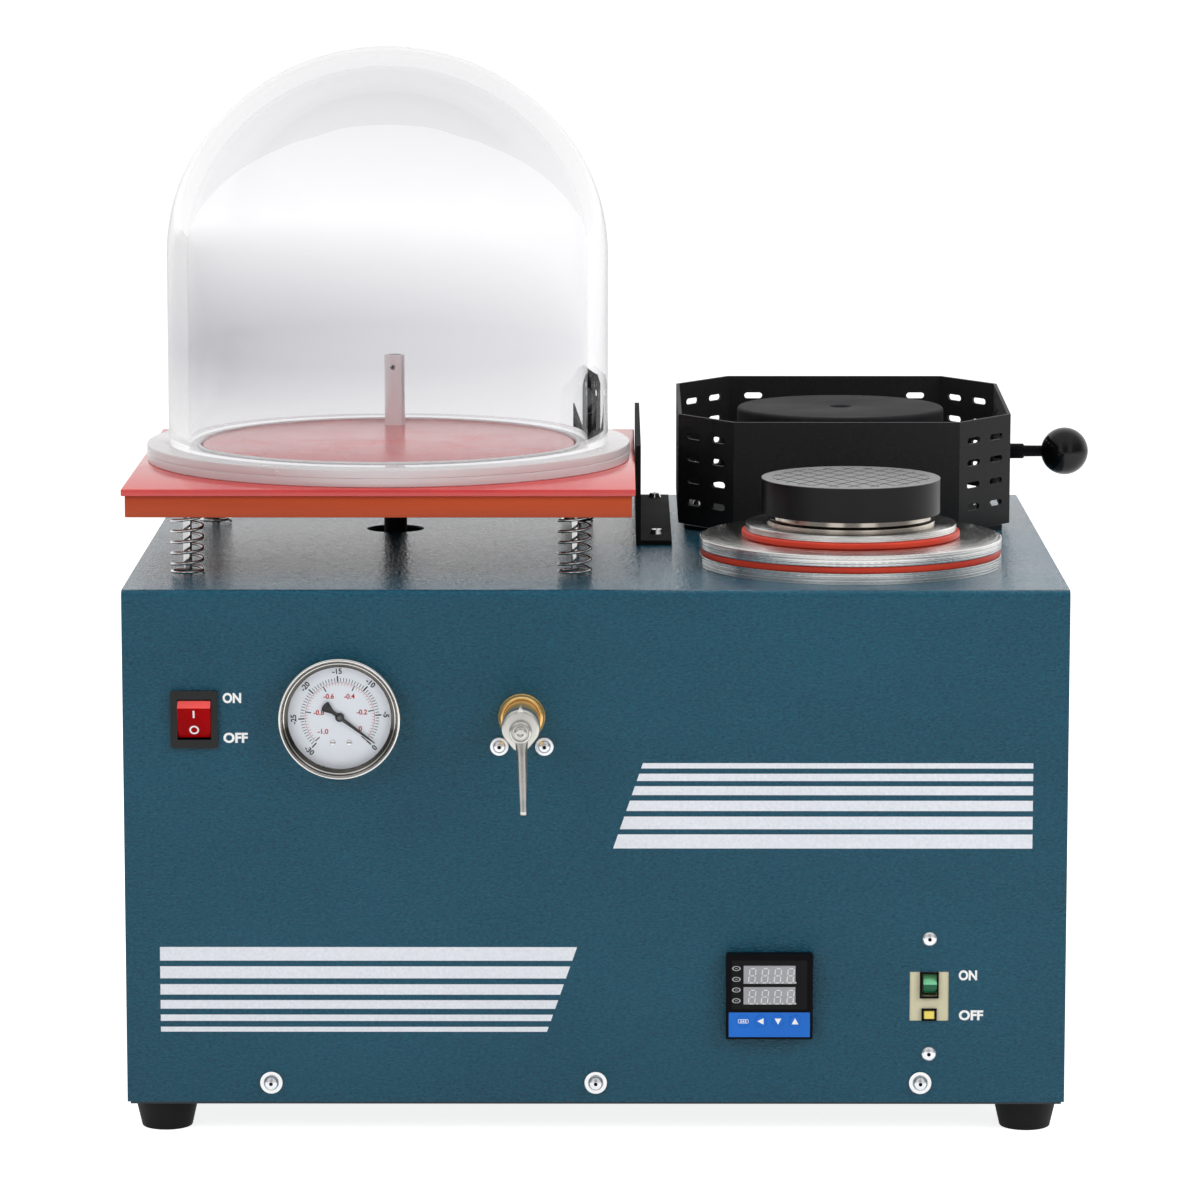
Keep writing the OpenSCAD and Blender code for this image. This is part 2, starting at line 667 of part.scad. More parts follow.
module controller_window() at_cabinet() translate(ctl_pos) color([0.12, 0.12, 0.13]) {
    panel_y(face_y + 0.2, face_y + 0.8) translate([0, glass_up])
        square([glass_w - 0.2, glass_h - 0.2], center = true);
    for (z = [glass_up + 4.4, glass_up - 7.4]) panel_y(face_y, face_y + 0.2) translate([0.3, z])
        square([digits_w, digits_h], center = true);
}

module controller_keypad() at_cabinet() translate(ctl_pos) color([0.1, 0.35, 0.8]) difference() {
    panel_y(face_y, face_y + 1.2) translate([0, keypad_z + keypad_h / 2])
        square([keypad_w - 0.1, keypad_h - 0.1], center = true);
    for (x = key_x) translate([x, 0, keypad_z + 9]) rod_y(key_d + 4 * fit_gap, face_y - cut, face_y + 0.8);
}

module controller_key(i) at_cabinet() translate(ctl_pos + [key_x[i], 0, keypad_z + 9])
    color([0.15, 0.4, 0.85]) rod_y(key_d, face_y - 0.15, face_y + 0.75 - key_travel);
module key_set() controller_key(0);
module key_left() controller_key(1);
module key_down() controller_key(2);
module key_up() controller_key(3);

// ---------------------------------------------------------------- breaker

brk_pos = [brk_right, 0, brk_z];
brk_face = 0.4;                  // its face lies just inside the window
brk_depth = 42;
brk_case_w = 34;
brk_rocker_z = 6.3;
brk_button_z = -10.3;
button_w = 5.4;
button_h = 4.2;

module breaker_body() at_cabinet() translate(brk_pos) color([0.82, 0.78, 0.66]) difference() {
    union() {
        panel_y(brk_face, sheet) square([brk_w - 2 * fit_gap, brk_h - 2 * fit_gap], center = true);
        panel_y(sheet, brk_depth) square([brk_case_w, brk_pitch + 12], center = true);
    }
    for (i = [-1, 1]) translate([0, 0, i * brk_pitch / 2]) rod_y(hole_d, 0, 20);
    panel_y(brk_face - cut, 12) translate([0, brk_rocker_z]) square([8.4, 12.6], center = true);
    panel_y(brk_face - cut, 9) translate([0, brk_button_z])
        square([button_w + 4 * fit_gap, button_h + 4 * fit_gap], center = true);
    translate([0, 6, brk_rocker_z]) rod_x(2 + 2 * fit_gap, -5.4, 5.4);
}

module breaker_frames() at_cabinet() translate(brk_pos) color([0.04, 0.04, 0.04]) {
    panel_y(-1.1, brk_face) translate([0, brk_rocker_z]) difference() {
        square([10.4, 14.6], center = true);
        square([8.4, 12.6], center = true);
    }
    panel_y(-0.9, brk_face) translate([0, brk_button_z]) difference() {
        square([8.4, 6.8], center = true);
        square([6.4, 5], center = true);
    }
}

module breaker_rocker() at_cabinet() translate(brk_pos + [0, 6, brk_rocker_z])
    color([0.05, 0.45, 0.25]) rotate([9, 0, 0]) {
        panel_x(-4, 4) polygon([[-8.6, 4.8], [-8, 0], [-8.6, -4.8], [-2, -4], [3, -2.5], [3, 2.5], [-2, 4]]);
        rod_x(2, -5.2, 5.2);
    }

module breaker_button() at_cabinet() translate(brk_pos + [0, 0, brk_button_z])
    color([0.95, 0.75, 0.1]) panel_y(-1.6, 6) square([button_w, button_h], center = true);

module breaker_screws() at_cabinet() color([0.8, 0.8, 0.8]) for (i = [-1, 1])
    translate(brk_pos + [0, 0, i * brk_pitch / 2]) rotate([-90, 0, 0]) screw(12);

// ---------------------------------------------------------------- investment table

module table_plate() at_cabinet() color([0.68, 0.28, 0.14]) difference() {
    translate([table_pos[0], table_pos[1], table_z]) linear_extrude(plate_t)
        square(plate_side, center = true);
    translate([pipe_pos[0], pipe_pos[1], table_z - cut]) cylinder(d = pipe_d, h = plate_t + 2 * cut);
    for (p = spring_places) translate([p[0], p[1], table_z - cut]) {
        cylinder(d = rod_d + 2 * fit_gap, h = plate_t + 2 * cut);
        translate([0, 0, cut + plate_t - 4]) cylinder(d = 2 * rod_d + 2 * fit_gap, h = 4 + cut);
    }
}

module table_pad() at_cabinet() color([0.85, 0.25, 0.22]) difference() {
    union() {
        translate([table_pos[0], table_pos[1], pad_z]) linear_extrude(pad_t)
            square(plate_side + 2 * pad_overhang, center = true);
        translate([jar_pos[0], jar_pos[1], jar_z]) cylinder(d = mat_d, h = mat_h);
    }
    translate([pipe_pos[0], pipe_pos[1], pad_z - cut])
        cylinder(d = pipe_d + 2 * fit_gap, h = pad_t + mat_h + 2 * cut);
}

pipe_top = jar_z + mat_h + pipe_rise;

module suction_pipe() at_cabinet() translate([pipe_pos[0], pipe_pos[1], 0]) color([0.78, 0.78, 0.8])
    difference() {
        union() {
            translate([0, 0, table_z]) cylinder(d = pipe_d, h = pipe_top - table_z);
            translate([0, 0, table_z - 14]) cylinder(d = hose_bore, h = 14);
        }
        translate([0, 0, table_z - 14 - cut]) cylinder(d = hose_bore - 2.4, h = 14 + 3 * cut);
        translate([0, 0, table_z + cut]) cylinder(d = pipe_bore, h = pipe_top - table_z);
        for (a = [20, 140, 260]) rotate(a) translate([0, 0, pipe_top - 7]) rod_x(3, 0, pipe_d);
    }

// Countersunk guide rods, each with a lock nut under the cabinet top
nut_af = 8;
module table_rods() at_cabinet() color([0.72, 0.72, 0.7]) for (p = spring_places)
    translate([p[0], p[1], 0]) {
        translate([0, 0, pad_z - 4]) cylinder(d = 2 * rod_d, h = 4);
        translate([0, 0, cab_h - sheet - 16]) cylinder(d = rod_d, h = table_rise + plate_t + sheet + 12);
        translate([0, 0, cab_h - sheet - fit_gap - 5]) cylinder(d = nut_af / cos(30), h = 5, $fn = 6);
    }

// One spring as a single tube: a straight wire end, a closed curl, the working
// curls, a closed curl and a straight wire end
spring_h = table_rise;
spring_r = (spring_d - wire_d) / 2;
end_pitch = wire_d + 0.6;        // rise of a closed end curl
work_rise = spring_h - 2 * wire_d - 2 * end_pitch;
curl_steps = 8;
all_curls = spring_curls + 2;
function spring_z(n) = wire_d + (n < 1 ? n * end_pitch
    : n > all_curls - 1 ? end_pitch + work_rise + (n - all_curls + 1) * end_pitch
    : end_pitch + (n - 1) * work_rise / spring_curls);
spring_line = [for (i = [0:all_curls * curl_steps])
    let (a = 360 * i / curl_steps, n = i / curl_steps)
    [spring_r * cos(a), spring_r * sin(a), spring_z(n)]];
spring_path = concat([[spring_r, 0, 0]], spring_line, [[spring_r, 0, spring_h]]);
function spring_angle(i) = 360 * min(max(i - 1, 0), all_curls * curl_steps) / curl_steps;
spring_u = [for (i = [0:len(spring_path) - 1]) [cos(spring_angle(i)), sin(spring_angle(i)), 0]];
spring_gap = min([for (i = [0:all_curls * curl_steps]) for (j = [0:all_curls * curl_steps])
    if (j - i > curl_steps / 2) norm(spring_line[i] - spring_line[j])]) - wire_d;
echo("least gap of a spring to itself", spring_gap);

module table_springs() at_cabinet() color([0.75, 0.75, 0.76]) {
    t = tangents(spring_path);
    ends = [for (i = [0:len(t) - 1]) i == 0 || i == len(t) - 1 ? [0, 0, 1] : t[i]];
    u = [for (i = [0:len(t) - 1]) unit(spring_u[i] - ends[i] * (spring_u[i] * ends[i]))];
    v = [for (i = [0:len(t) - 1]) cross(ends[i], u[i])];
    for (p = spring_places) translate([p[0], p[1], cab_h]) sweep(spring_path, u, v, wire_d / 2, 6);
}

// The straight hose between the table and the joiner below the cabinet top
hose_low_z = cab_h - 37;
module table_hose() at_cabinet() color([0.05, 0.05, 0.05])
    translate([pipe_pos[0], pipe_pos[1], hose_low_z]) ring(hose_d, hose_bore, table_z - hose_low_z);

// ---------------------------------------------------------------- bell jar

module jar_ring() at_cabinet() translate([jar_pos[0], jar_pos[1], jar_z]) color([0.9, 0.93, 0.95, 0.4])
    rotate_extrude($fn = 96) difference() {
        translate([ring_id / 2, 0]) square([(ring_d - ring_id) / 2, ring_t]);
        translate([ring_d / 2, ring_t]) rotate(45) square([1.6, 1.6], center = true);
        translate([ring_d / 2, 0]) rotate(45) square([1.6, 1.6], center = true);
        translate([ring_d / 2, ring_t / 2]) rotate(45) square([0.8, 0.8], center = true);
    }

// Half the dome's section is a crown arc that meets a smaller arc at the shoulder
module dome_arc(centre, radius, corners) intersection() {
    translate(centre) difference() { circle(radius); circle(radius - jar_wall); }
    polygon(corners);
}

module jar_dome() at_cabinet() translate([jar_pos[0], jar_pos[1], jar_z]) color([0.9, 0.93, 0.95, 0.35])
    rotate_extrude($fn = 96) {
        r = jar_d / 2;
        translate([r - jar_wall, ring_t]) square([jar_wall, dome_z - ring_t]);
        across = r - shoulder_r;
        crown_r = (across * across + dome_h * dome_h - shoulder_r * shoulder_r)
            / (2 * (dome_h - shoulder_r));
        crown_z = dome_h - crown_r;
        meet = 2 * r * [across, -crown_z] / (crown_r - shoulder_r);
        translate([0, dome_z]) {
            dome_arc([0, crown_z], crown_r, [[0, crown_z], [0, 2 * r], [meet[0], crown_z + meet[1]]]);
            dome_arc([across, 0], shoulder_r,
                [[across, 0], [across + meet[0], meet[1]], [2 * r, 2 * r], [2 * r, 0]]);
        }
    }

// ---------------------------------------------------------------- casting chamber

gasket_z = cab_h + flange_t;
adapter_z = gasket_z + gasket_t;
seal_z = adapter_z + adapter_t;
plug_z = seal_z + seal_t;
neck_z = plug_z + plug_t;
grip_z = neck_z + neck_h;
can_bore = can_d - 2 * can_wall;
can_port_z = cab_h - can_depth + 30;

module at_chamber(z) translate([chamber_pos[0], chamber_pos[1], z]) children();

module chamber_can() at_cabinet() color([0.74, 0.74, 0.73]) difference() {
    union() {
        at_chamber(cab_h) cylinder(d = flange_d, h = flange_t);
        at_chamber(cab_h - can_depth) cylinder(d = can_d, h = can_depth + cut);
        translate([chamber_pos[0], chamber_pos[1], can_port_z]) rod_x(barb_d, -can_d / 2 - 16, 0);
    }
    at_chamber(cab_h - can_depth + can_wall) cylinder(d = can_bore, h = can_depth + flange_t + cut);
    translate([chamber_pos[0], chamber_pos[1], can_port_z]) rod_x(barb_d - 2.4, -can_d / 2 - 16 - cut, 0);
}

module chamber_gasket() at_cabinet() at_chamber(gasket_z) color([0.86, 0.24, 0.14])
    ring(flange_d - 0.6, can_bore + 4, gasket_t);

// The adapter drops into the chamber with a short register under the plate
register_h = 8;
module adapter_plate() at_cabinet() color([0.76, 0.76, 0.75]) difference() {
    union() {
        at_chamber(adapter_z) cylinder(d = flange_d, h = adapter_t);
        at_chamber(adapter_z - register_h) cylinder(d = can_bore - 2 * loose_gap, h = register_h + cut);
    }
    at_chamber(adapter_z - register_h - cut) cylinder(d = adapter_bore, h = register_h + adapter_t + 2 * cut);
}

module adapter_seal() at_cabinet() at_chamber(seal_z) color([0.86, 0.24, 0.14])
    rotate_extrude() difference() {
        translate([adapter_bore / 2 + 2, 0]) square([seal_d / 2 - adapter_bore / 2 - 2, seal_t]);
        for (z = [0, seal_t]) translate([seal_d / 2, z]) rotate(45) square(1.2, center = true);
    }

module plug_plate() at_cabinet() color([0.78, 0.78, 0.77]) {
    at_chamber(plug_z) cylinder(d = plug_d, h = plug_t);
    at_chamber(plug_z - seal_t - 5) cylinder(d = adapter_bore - 2 * loose_gap, h = seal_t + 5);
    at_chamber(neck_z) rotate_extrude() difference() {
        square([neck_d / 2 + 1.5, neck_h]);
        translate([neck_d / 2 + 3, neck_h - 1]) circle(3);
    }
}

groove_field = pad_disc_d / 2 - 6;   // the grooves stop short of the rim
groove_count = floor(groove_field / groove_pitch);
groove_angle = 58.7;             // of either family of grooves to the x axis

module plug_pad() at_cabinet() at_chamber(grip_z) color([0.06, 0.06, 0.07]) difference() {
    cylinder(d = pad_disc_d, h = pad_disc_h);
    translate([0, 0, pad_disc_h - groove_depth]) linear_extrude(groove_depth + cut) intersection() {
        circle(groove_field);
        union() for (a = [-groove_angle, groove_angle]) rotate(a) for (i = [-groove_count:groove_count])
            translate([0, i * groove_pitch]) square([2 * groove_field, groove_w], center = true);
    }
}

// ---------------------------------------------------------------- furnace

base_w = guard_w - 8;
base_screw_x = 84;
base_screw_places = [for (i = [-1, 1]) for (j = [-1, 1])
    furnace_pos + [i * base_screw_x, j * 38]];
sleeve_z = cab_h - sleeve_drop;
sleeve_top = cab_h + sleeve_rise;
liner_bore = 70;
liner_gap = 0.4;                 // between the sleeve and its ceramic liner
crucible_z = sleeve_z + sleeve_wall + 30;

module octagon(w, d, c) polygon([for (p = [[1, 1], [-1, 1], [-1, -1], [1, -1]])
    for (q = p[0] * p[1] > 0 ? [[0, c], [c, 0]] : [[c, 0], [0, c]])
        [p[0] * (w / 2 - q[0]), p[1] * (d / 2 - q[1])]]);

module at_furnace(z) translate([furnace_pos[0], furnace_pos[1], z]) children();

module furnace_base() at_cabinet() color([0.05, 0.05, 0.05]) difference() {
    at_furnace(cab_h) linear_extrude(base_t) octagon(base_w, guard_depth - 8, guard_chamfer);
    at_furnace(cab_h - cut) cylinder(d = sleeve_d + 2 * loose_gap, h = base_t + 2 * cut);
    for (p = base_screw_places) translate([p[0], p[1], cab_h - cut])
        cylinder(d = hole_d, h = base_t + 2 * cut);
}

// The sleeve hangs on a collar that rests on the base plate
collar_d = sleeve_d + 10;
module furnace_sleeve() at_cabinet() color([0.30, 0.30, 0.30]) difference() {
    union() {
        at_furnace(sleeve_z) cylinder(d = sleeve_d, h = sleeve_top - sleeve_z);
        at_furnace(cab_h + base_t) cylinder(d = collar_d, h = 3);
    }
    at_furnace(sleeve_z + sleeve_wall) cylinder(d = sleeve_d - 2 * sleeve_wall, h = sleeve_top);
}

module furnace_liner() at_cabinet() color([0.88, 0.85, 0.78]) difference() {
    at_furnace(sleeve_z + sleeve_wall)
        cylinder(d = sleeve_d - 2 * sleeve_wall - 2 * liner_gap, h = sleeve_top - sleeve_z - sleeve_wall - 3);
    at_furnace(crucible_z) cylinder(d = liner_bore, h = sleeve_top);
}

module crucible() at_cabinet() at_furnace(crucible_z) color([0.16, 0.16, 0.17]) rotate_extrude()
    difference() {
        polygon([[0, 0], [crucible_d / 2 - 4, 0], [crucible_d / 2, crucible_h], [0, crucible_h]]);
        polygon([[0, crucible_wall + 4], [crucible_d / 2 - 4 - crucible_wall, crucible_wall + 4],
            [crucible_d / 2 - crucible_wall, crucible_h + cut], [0, crucible_h + cut]]);
    }

lid_edge = 3;
module furnace_lid() at_cabinet() at_furnace(sleeve_top) color([0.09, 0.09, 0.10]) rotate_extrude($fn = 96)
    union() {
        translate([lid_hole_d / 2, 0]) square([(lid_d - lid_hole_d) / 2, lid_t - lid_edge]);
        translate([lid_hole_d / 2, 0]) square([(lid_d - lid_hole_d) / 2 - lid_edge, lid_t]);
        translate([lid_d / 2 - lid_edge, lid_t - lid_edge]) circle(lid_edge);
    }

// ---------------------------------------------------------------- guard

// The guard's own frame: its hinge axis is the x axis, the closed guard lies
// forward of it, and leans down to the front by guard_lean
hinge_y = furnace_back + guard_depth / 2 + barrel_d / 2 + 0.5;
hinge_z = cab_h + base_t + guard_gap + (guard_depth + barrel_d / 2) * sin(guard_lean);
guard_mid = -(guard_depth / 2 + barrel_d / 2 + 0.5);
knuckle_l = 8;
knuckle_gap = 0.3;               // along the pin, between knuckles
row_drop = 12;                   // from the rim to the first row of slots
first_row = guard_h - row_drop;
grip_height = first_row - 1.5 * row_pitch;
hinge_places = [-hinge_pitch / 2, hinge_pitch / 2];

module on_guard() translate([furnace_right, hinge_y, hinge_z]) rotate([guard_lean, 0, 0]) children();

module slot_outline(count, rows = 4) for (i = [0:count - 1]) for (j = [0:rows - 1])
    translate([(i - (count - 1) / 2) * slot_pitch, first_row - j * row_pitch]) union() {
        square([slot_l - slot_w, slot_w], center = true);
        for (k = [-1, 1]) translate([k * (slot_l - slot_w) / 2, 0]) circle(slot_w / 2, $fn = 24);
    }

module slot_cutter(x, y, angle, count) translate([x, y, 0]) rotate(angle) translate([0, 4, 0])
    rotate([90, 0, 0]) linear_extrude(8) slot_outline(count);

// A sheet octagon open at the top and bottom, with two hinge knuckles behind
module guard_shell() at_cabinet() on_guard() color([0.07, 0.07, 0.07]) {
    translate([0, guard_mid, 0]) difference() {
        linear_extrude(guard_h) difference() {
            octagon(guard_w, guard_depth, guard_chamfer);
            octagon(guard_w - 2 * guard_t, guard_depth - 2 * guard_t,
                guard_chamfer - guard_t * (2 - sqrt(2)));
        }
        for (i = [-1, 1]) {
            slot_cutter(i * 2.5 * slot_pitch, guard_depth / 2, 0, 1);
            slot_cutter(i * guard_w / 2, 0, 90, 5);
            for (j = [-1, 1]) slot_cutter(i * (guard_w - guard_chamfer) / 2,
                j * (guard_depth - guard_chamfer) / 2, -45 * i * j, 2);
        }
        translate([0, 0, grip_height]) rod_x(stud_d + 2 * fit_gap, 0, guard_w);
    }
    for (x = hinge_places) difference() {
        union() {
            rod_x(barrel_d, x - knuckle_l / 2, x + knuckle_l / 2);
            translate([x - knuckle_l / 2, guard_mid + guard_depth / 2 - guard_t, 0])
                cube([knuckle_l, guard_t - guard_mid - guard_depth / 2, barrel_d / 2]);
        }
        rod_x(pin_d + 2 * fit_gap, x - knuckle_l, x + knuckle_l);
    }
}

// The fixed half of both hinges: a foot, two stands with barrels, and the pin
module guard_hinges() at_cabinet() color([0.09, 0.09, 0.09]) for (x = hinge_places)
    translate([furnace_right + x, hinge_y, 0]) {
        half = knuckle_l / 2 + knuckle_gap;
        translate([-half - knuckle_l, -barrel_d / 2, cab_h])
            cube([2 * (half + knuckle_l), barrel_d, 3]);
        for (i = [-half - knuckle_l, half]) {
            translate([i, -barrel_d / 2, cab_h]) cube([knuckle_l, barrel_d, hinge_z - cab_h]);
            translate([0, 0, hinge_z]) rod_x(barrel_d, i, i + knuckle_l);
        }
        translate([0, 0, hinge_z]) rod_x(pin_d, -half - knuckle_l, half + knuckle_l);
    }

stud_d = 5;
grip_nut_l = 12.6;

module on_grip() on_guard() translate([guard_w / 2, guard_mid, grip_height]) children();

module guard_handle() at_cabinet() on_grip() color([0.8, 0.8, 0.8]) {
    rod_x(stud_d, -guard_t - 4, 0);
    translate([-guard_t - 3, 0, 0]) rotate([0, 90, 0]) cylinder(d = 9, h = 3, $fn = 6);
    rotate([0, 90, 0]) cylinder(d = 9, h = grip_nut_l, $fn = 6);
    rod_x(handle_d, 0, ball_reach);
}

module guard_ball() at_cabinet() on_grip() color([0.04, 0.04, 0.04]) difference() {
    translate([ball_reach, 0, 0]) sphere(d = ball_d);
    rod_x(handle_d + 2 * fit_gap, 0, ball_reach);
}

// ---------------------------------------------------------------- heat shield

shield_x = 22.8;
shield_y = 179;
shield_notch = 16;               // its foot ends this far before the blade's rear
shield_screw_places = [[35, 209], [35, 374]];

module heat_shield() at_cabinet() color([0.07, 0.07, 0.07]) difference() {
    translate([shield_x, shield_y, cab_h]) union() {
        cube([shield_t, shield_len, shield_h]);
        cube([shield_w, shield_len - shield_notch, shield_t]);
    }
    for (p = shield_screw_places) translate([p[0], p[1], cab_h - cut])
        cylinder(d = hole_d, h = shield_t + 2 * cut);
}

// ---------------------------------------------------------------- vacuum pump

pump_x = -140;
pump_y = 80;                     // front of the pump's body
pump_w = 96;
pump_l = 105;
pump_h = 150;
motor_gap = 11;                  // between the pump's body and the motor
motor_y = pump_y + pump_l + motor_gap;
motor_z = 76;
motor_d = 118;
motor_l = 144;
motor_wall = 6;
motor_foot_w = 80;
motor_foot_l = 105;
motor_foot_h = 30;
rotor_d = 96;
rotor_l = 112;
fan_d = 96;
fan_hub_d = 30;
fan_l = 12;
shaft_d = 12;
foot_t = 8;
foot_w = 130;
foot_l = 240;
foot_y = pump_y + 10;            // front of the common foot
cap_h = 26;                      // of the oil filler
pump_inlet = [pump_x, pump_y + 70, pump_h + 35];
pump_bolt_places = [for (i = [-1, 1]) for (y = [foot_y + 10, foot_y + foot_l - 12])
    [pump_x + i * (foot_w / 2 - 7), y]];

module pump_housing() at_cabinet() color([0.22, 0.28, 0.32]) difference() {
    union() {
        translate([pump_x - foot_w / 2, foot_y, 0]) cube([foot_w, foot_l, foot_t]);
        translate([pump_x - pump_w / 2, pump_y, foot_t - cut]) cube([pump_w, pump_l, pump_h - foot_t + cut]);
        translate([pump_x, 0, motor_z]) rod_y(motor_d - 8, motor_y - motor_gap - cut, motor_y);
        translate([pump_x - pump_w / 4, pump_y + 25, pump_h - 10]) cylinder(d = cap_h + 4, h = cap_h);
        translate([pump_inlet[0], pump_inlet[1], pump_h - 10]) cylinder(d = cap_h - 6, h = cap_h - 2);
        translate([pump_inlet[0], pump_inlet[1], pump_h - 10])
            cylinder(d = barb_d, h = pump_inlet[2] - pump_h + 10);
    }
    translate([pump_x, 0, motor_z]) rod_y(shaft_d + 2 * fit_gap, motor_y - 36, motor_y + cut);
    translate([pump_inlet[0], pump_inlet[1], pump_h - 30]) cylinder(d = barb_d - 2.4, h = pump_inlet[2]);
    for (p = pump_bolt_places) translate([p[0], p[1], -cut]) cylinder(d = hole_d, h = foot_t + 2 * cut);
}

module pump_motor() at_cabinet() color([0.35, 0.36, 0.38]) difference() {
    union() {
        translate([pump_x, 0, motor_z]) rod_y(motor_d, motor_y, motor_y + motor_l);
        translate([pump_x - motor_foot_w / 2, motor_y + (motor_l - motor_foot_l) / 2, foot_t])
            cube([motor_foot_w, motor_foot_l, motor_foot_h]);
    }
    translate([pump_x, 0, motor_z]) {
        rod_y(motor_d - 10, motor_y + motor_wall, motor_y + motor_l - motor_wall);
        rod_y(shaft_d + 2 * fit_gap, motor_y - cut, motor_y + motor_l + cut);
    }
}

module motor_rotor() at_cabinet() translate([pump_x, 0, motor_z]) color([0.7, 0.7, 0.7]) {
    fan_y = motor_y + motor_l + 4;
    rod_y(shaft_d, motor_y - 31, fan_y + fan_l + 2);
    rod_y(rotor_d, motor_y + (motor_l - rotor_l) / 2, motor_y + (motor_l + rotor_l) / 2);
    rod_y(fan_hub_d, fan_y, fan_y + fan_l);
    for (a = [0:45:315]) rotate([0, a, 0]) translate([fan_hub_d / 3, fan_y + 1, -1])
        cube([fan_d / 2 - fan_hub_d / 3, fan_l - 2, 2]);
}

// ---------------------------------------------------------------- vacuum hoses

hose_lines = [
    [valve_pos + [-port_reach, barb_y, 0], [-81, 26, row_z], [-93, 34, row_z - 1], [-99, 52, row_z - 3],
        [-101, 90, row_z - 5], [-104, 135, row_z - 6], [-109, 180, row_z - 6], [-115, 218, row_z - 3],
        [-119.5, 243, row_z + 7], [pipe_pos[0], pipe_pos[1], hose_low_z - 11],
        [pipe_pos[0], pipe_pos[1], hose_low_z]],
    [valve_pos + [port_reach, barb_y, 0], [0, 26, row_z], [15, 30, row_z - 5], [27, 42, row_z - 19],
        [32, 60, row_z - 39], [32, 82, can_port_z + 17], [36, 99, can_port_z + 4],
        [chamber_right - can_d / 2 - 27, chamber_back, can_port_z],
        [chamber_right - can_d / 2 - 16, chamber_back, can_port_z]],
    [valve_pos + [0, 62, 0], valve_pos + [0, 73, 0], [-46, 92, row_z + 5], [-62, 112, row_z + 15],
        [-85, 130, row_z + 21], [-108, 143, row_z + 19], [-128, 149, row_z + 7], [-137.5, 150, row_z - 9],
        pump_inlet + [0, 0, 12], pump_inlet],
    [valve_pos + [0, barb_y, -port_reach], valve_pos + [0, barb_y, -port_reach - 11],
        [-44, 30, row_z - 55], [-56, 42, row_z - 63], [-74, 58, row_z - 61], [-92, 74, row_z - 49],
        [-110, 85, row_z - 31], [-126, 86, row_z - 13], [-136.5, 76, row_z - 3],
        gauge_pos + [0, 59, 0], gauge_pos + [0, 46, 0]]
];

module vacuum_hoses() at_cabinet() color([0.05, 0.05, 0.05])
    for (p = hose_lines) hose_along(p, hose_d, 10);

// ---------------------------------------------------------------- power inlet

inlet_pos = [190, 60];
inlet_w = 34;
inlet_h = 28;

module power_inlet() at_cabinet() translate([inlet_pos[0], 0, inlet_pos[1]]) color([0.06, 0.06, 0.06]) {
    difference() {
        union() {
            panel_y(cab_d, cab_d + 2.6) round_rect(inlet_w + 6, inlet_h + 4, 2);
            panel_y(cab_d - 24, cab_d)
                square([inlet_w - 4 - 2 * fit_gap, inlet_h - 4 - 2 * fit_gap], center = true);
        }
        panel_y(cab_d - 16, cab_d + 2.6 + cut) square([24, 16.5], center = true);
    }
    for (p = [[-7, -2], [0, 3], [7, -2]]) translate([p[0] - 1, cab_d - 16 - cut, p[1] - 2])
        cube([2, 14, 4]);
}

cabinet_shell();
base_tray();
rear_panel();
rubber_feet();
case_screws();
top_screws();
pump_switch_body();
pump_switch_rocker();
gauge_case();
gauge_dial();
gauge_needle();
gauge_lens();
gauge_bezel();
valve_body();
valve_nut();
valve_stem();
valve_cap();
valve_lever();
valve_screws();
controller_case();
controller_window();
controller_keypad();
key_set();
key_left();
key_down();
key_up();
breaker_body();
breaker_frames();
breaker_rocker();
breaker_button();
breaker_screws();
table_plate();
table_pad();
suction_pipe();
table_rods();
table_springs();
table_hose();
jar_ring();
jar_dome();
chamber_can();
chamber_gasket();
adapter_plate();
adapter_seal();
plug_plate();
plug_pad();
furnace_base();
furnace_sleeve();
furnace_liner();
crucible();
furnace_lid();
guard_shell();
guard_hinges();
guard_handle();
guard_ball();
heat_shield();
pump_housing();
pump_motor();
motor_rotor();
vacuum_hoses();
power_inlet();
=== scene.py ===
"""A bench-top vacuum casting machine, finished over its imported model."""

import math

import bmesh
import bpy
from mathutils import Matrix, Vector


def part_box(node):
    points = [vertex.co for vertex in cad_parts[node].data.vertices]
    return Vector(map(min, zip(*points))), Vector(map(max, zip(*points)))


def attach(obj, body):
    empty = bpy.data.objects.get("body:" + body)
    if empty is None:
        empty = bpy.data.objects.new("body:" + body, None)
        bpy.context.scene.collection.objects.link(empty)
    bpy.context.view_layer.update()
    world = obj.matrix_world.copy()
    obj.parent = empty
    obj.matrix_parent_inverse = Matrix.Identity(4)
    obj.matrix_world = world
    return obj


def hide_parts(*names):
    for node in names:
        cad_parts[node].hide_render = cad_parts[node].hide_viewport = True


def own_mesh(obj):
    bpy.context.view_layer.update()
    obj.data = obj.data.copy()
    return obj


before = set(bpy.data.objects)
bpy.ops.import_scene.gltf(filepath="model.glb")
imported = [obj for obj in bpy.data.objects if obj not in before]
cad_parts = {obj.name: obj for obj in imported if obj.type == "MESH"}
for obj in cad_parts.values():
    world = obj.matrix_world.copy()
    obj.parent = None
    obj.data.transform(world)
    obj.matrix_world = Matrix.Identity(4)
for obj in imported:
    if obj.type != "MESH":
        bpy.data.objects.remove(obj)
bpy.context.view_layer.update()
scene = bpy.context.scene

# Shapes are drawn in millimetres from the cabinet: x from its centre line,
# y back from its front panel, z up from its lower edge.
TO_ROW = Matrix.Scale(0.001, 4) @ Matrix.Translation((-17, -177, 19))
TO_FRONT = Matrix.Rotation(math.radians(90), 4, "X")

# Heights: the cabinet's top, just under the table, and the feet of the red mat and of the jar
TOP = 287.0
UNDER_TABLE = TOP + 36.2
PAD = TOP + 48.3
JAR = TOP + 52.3

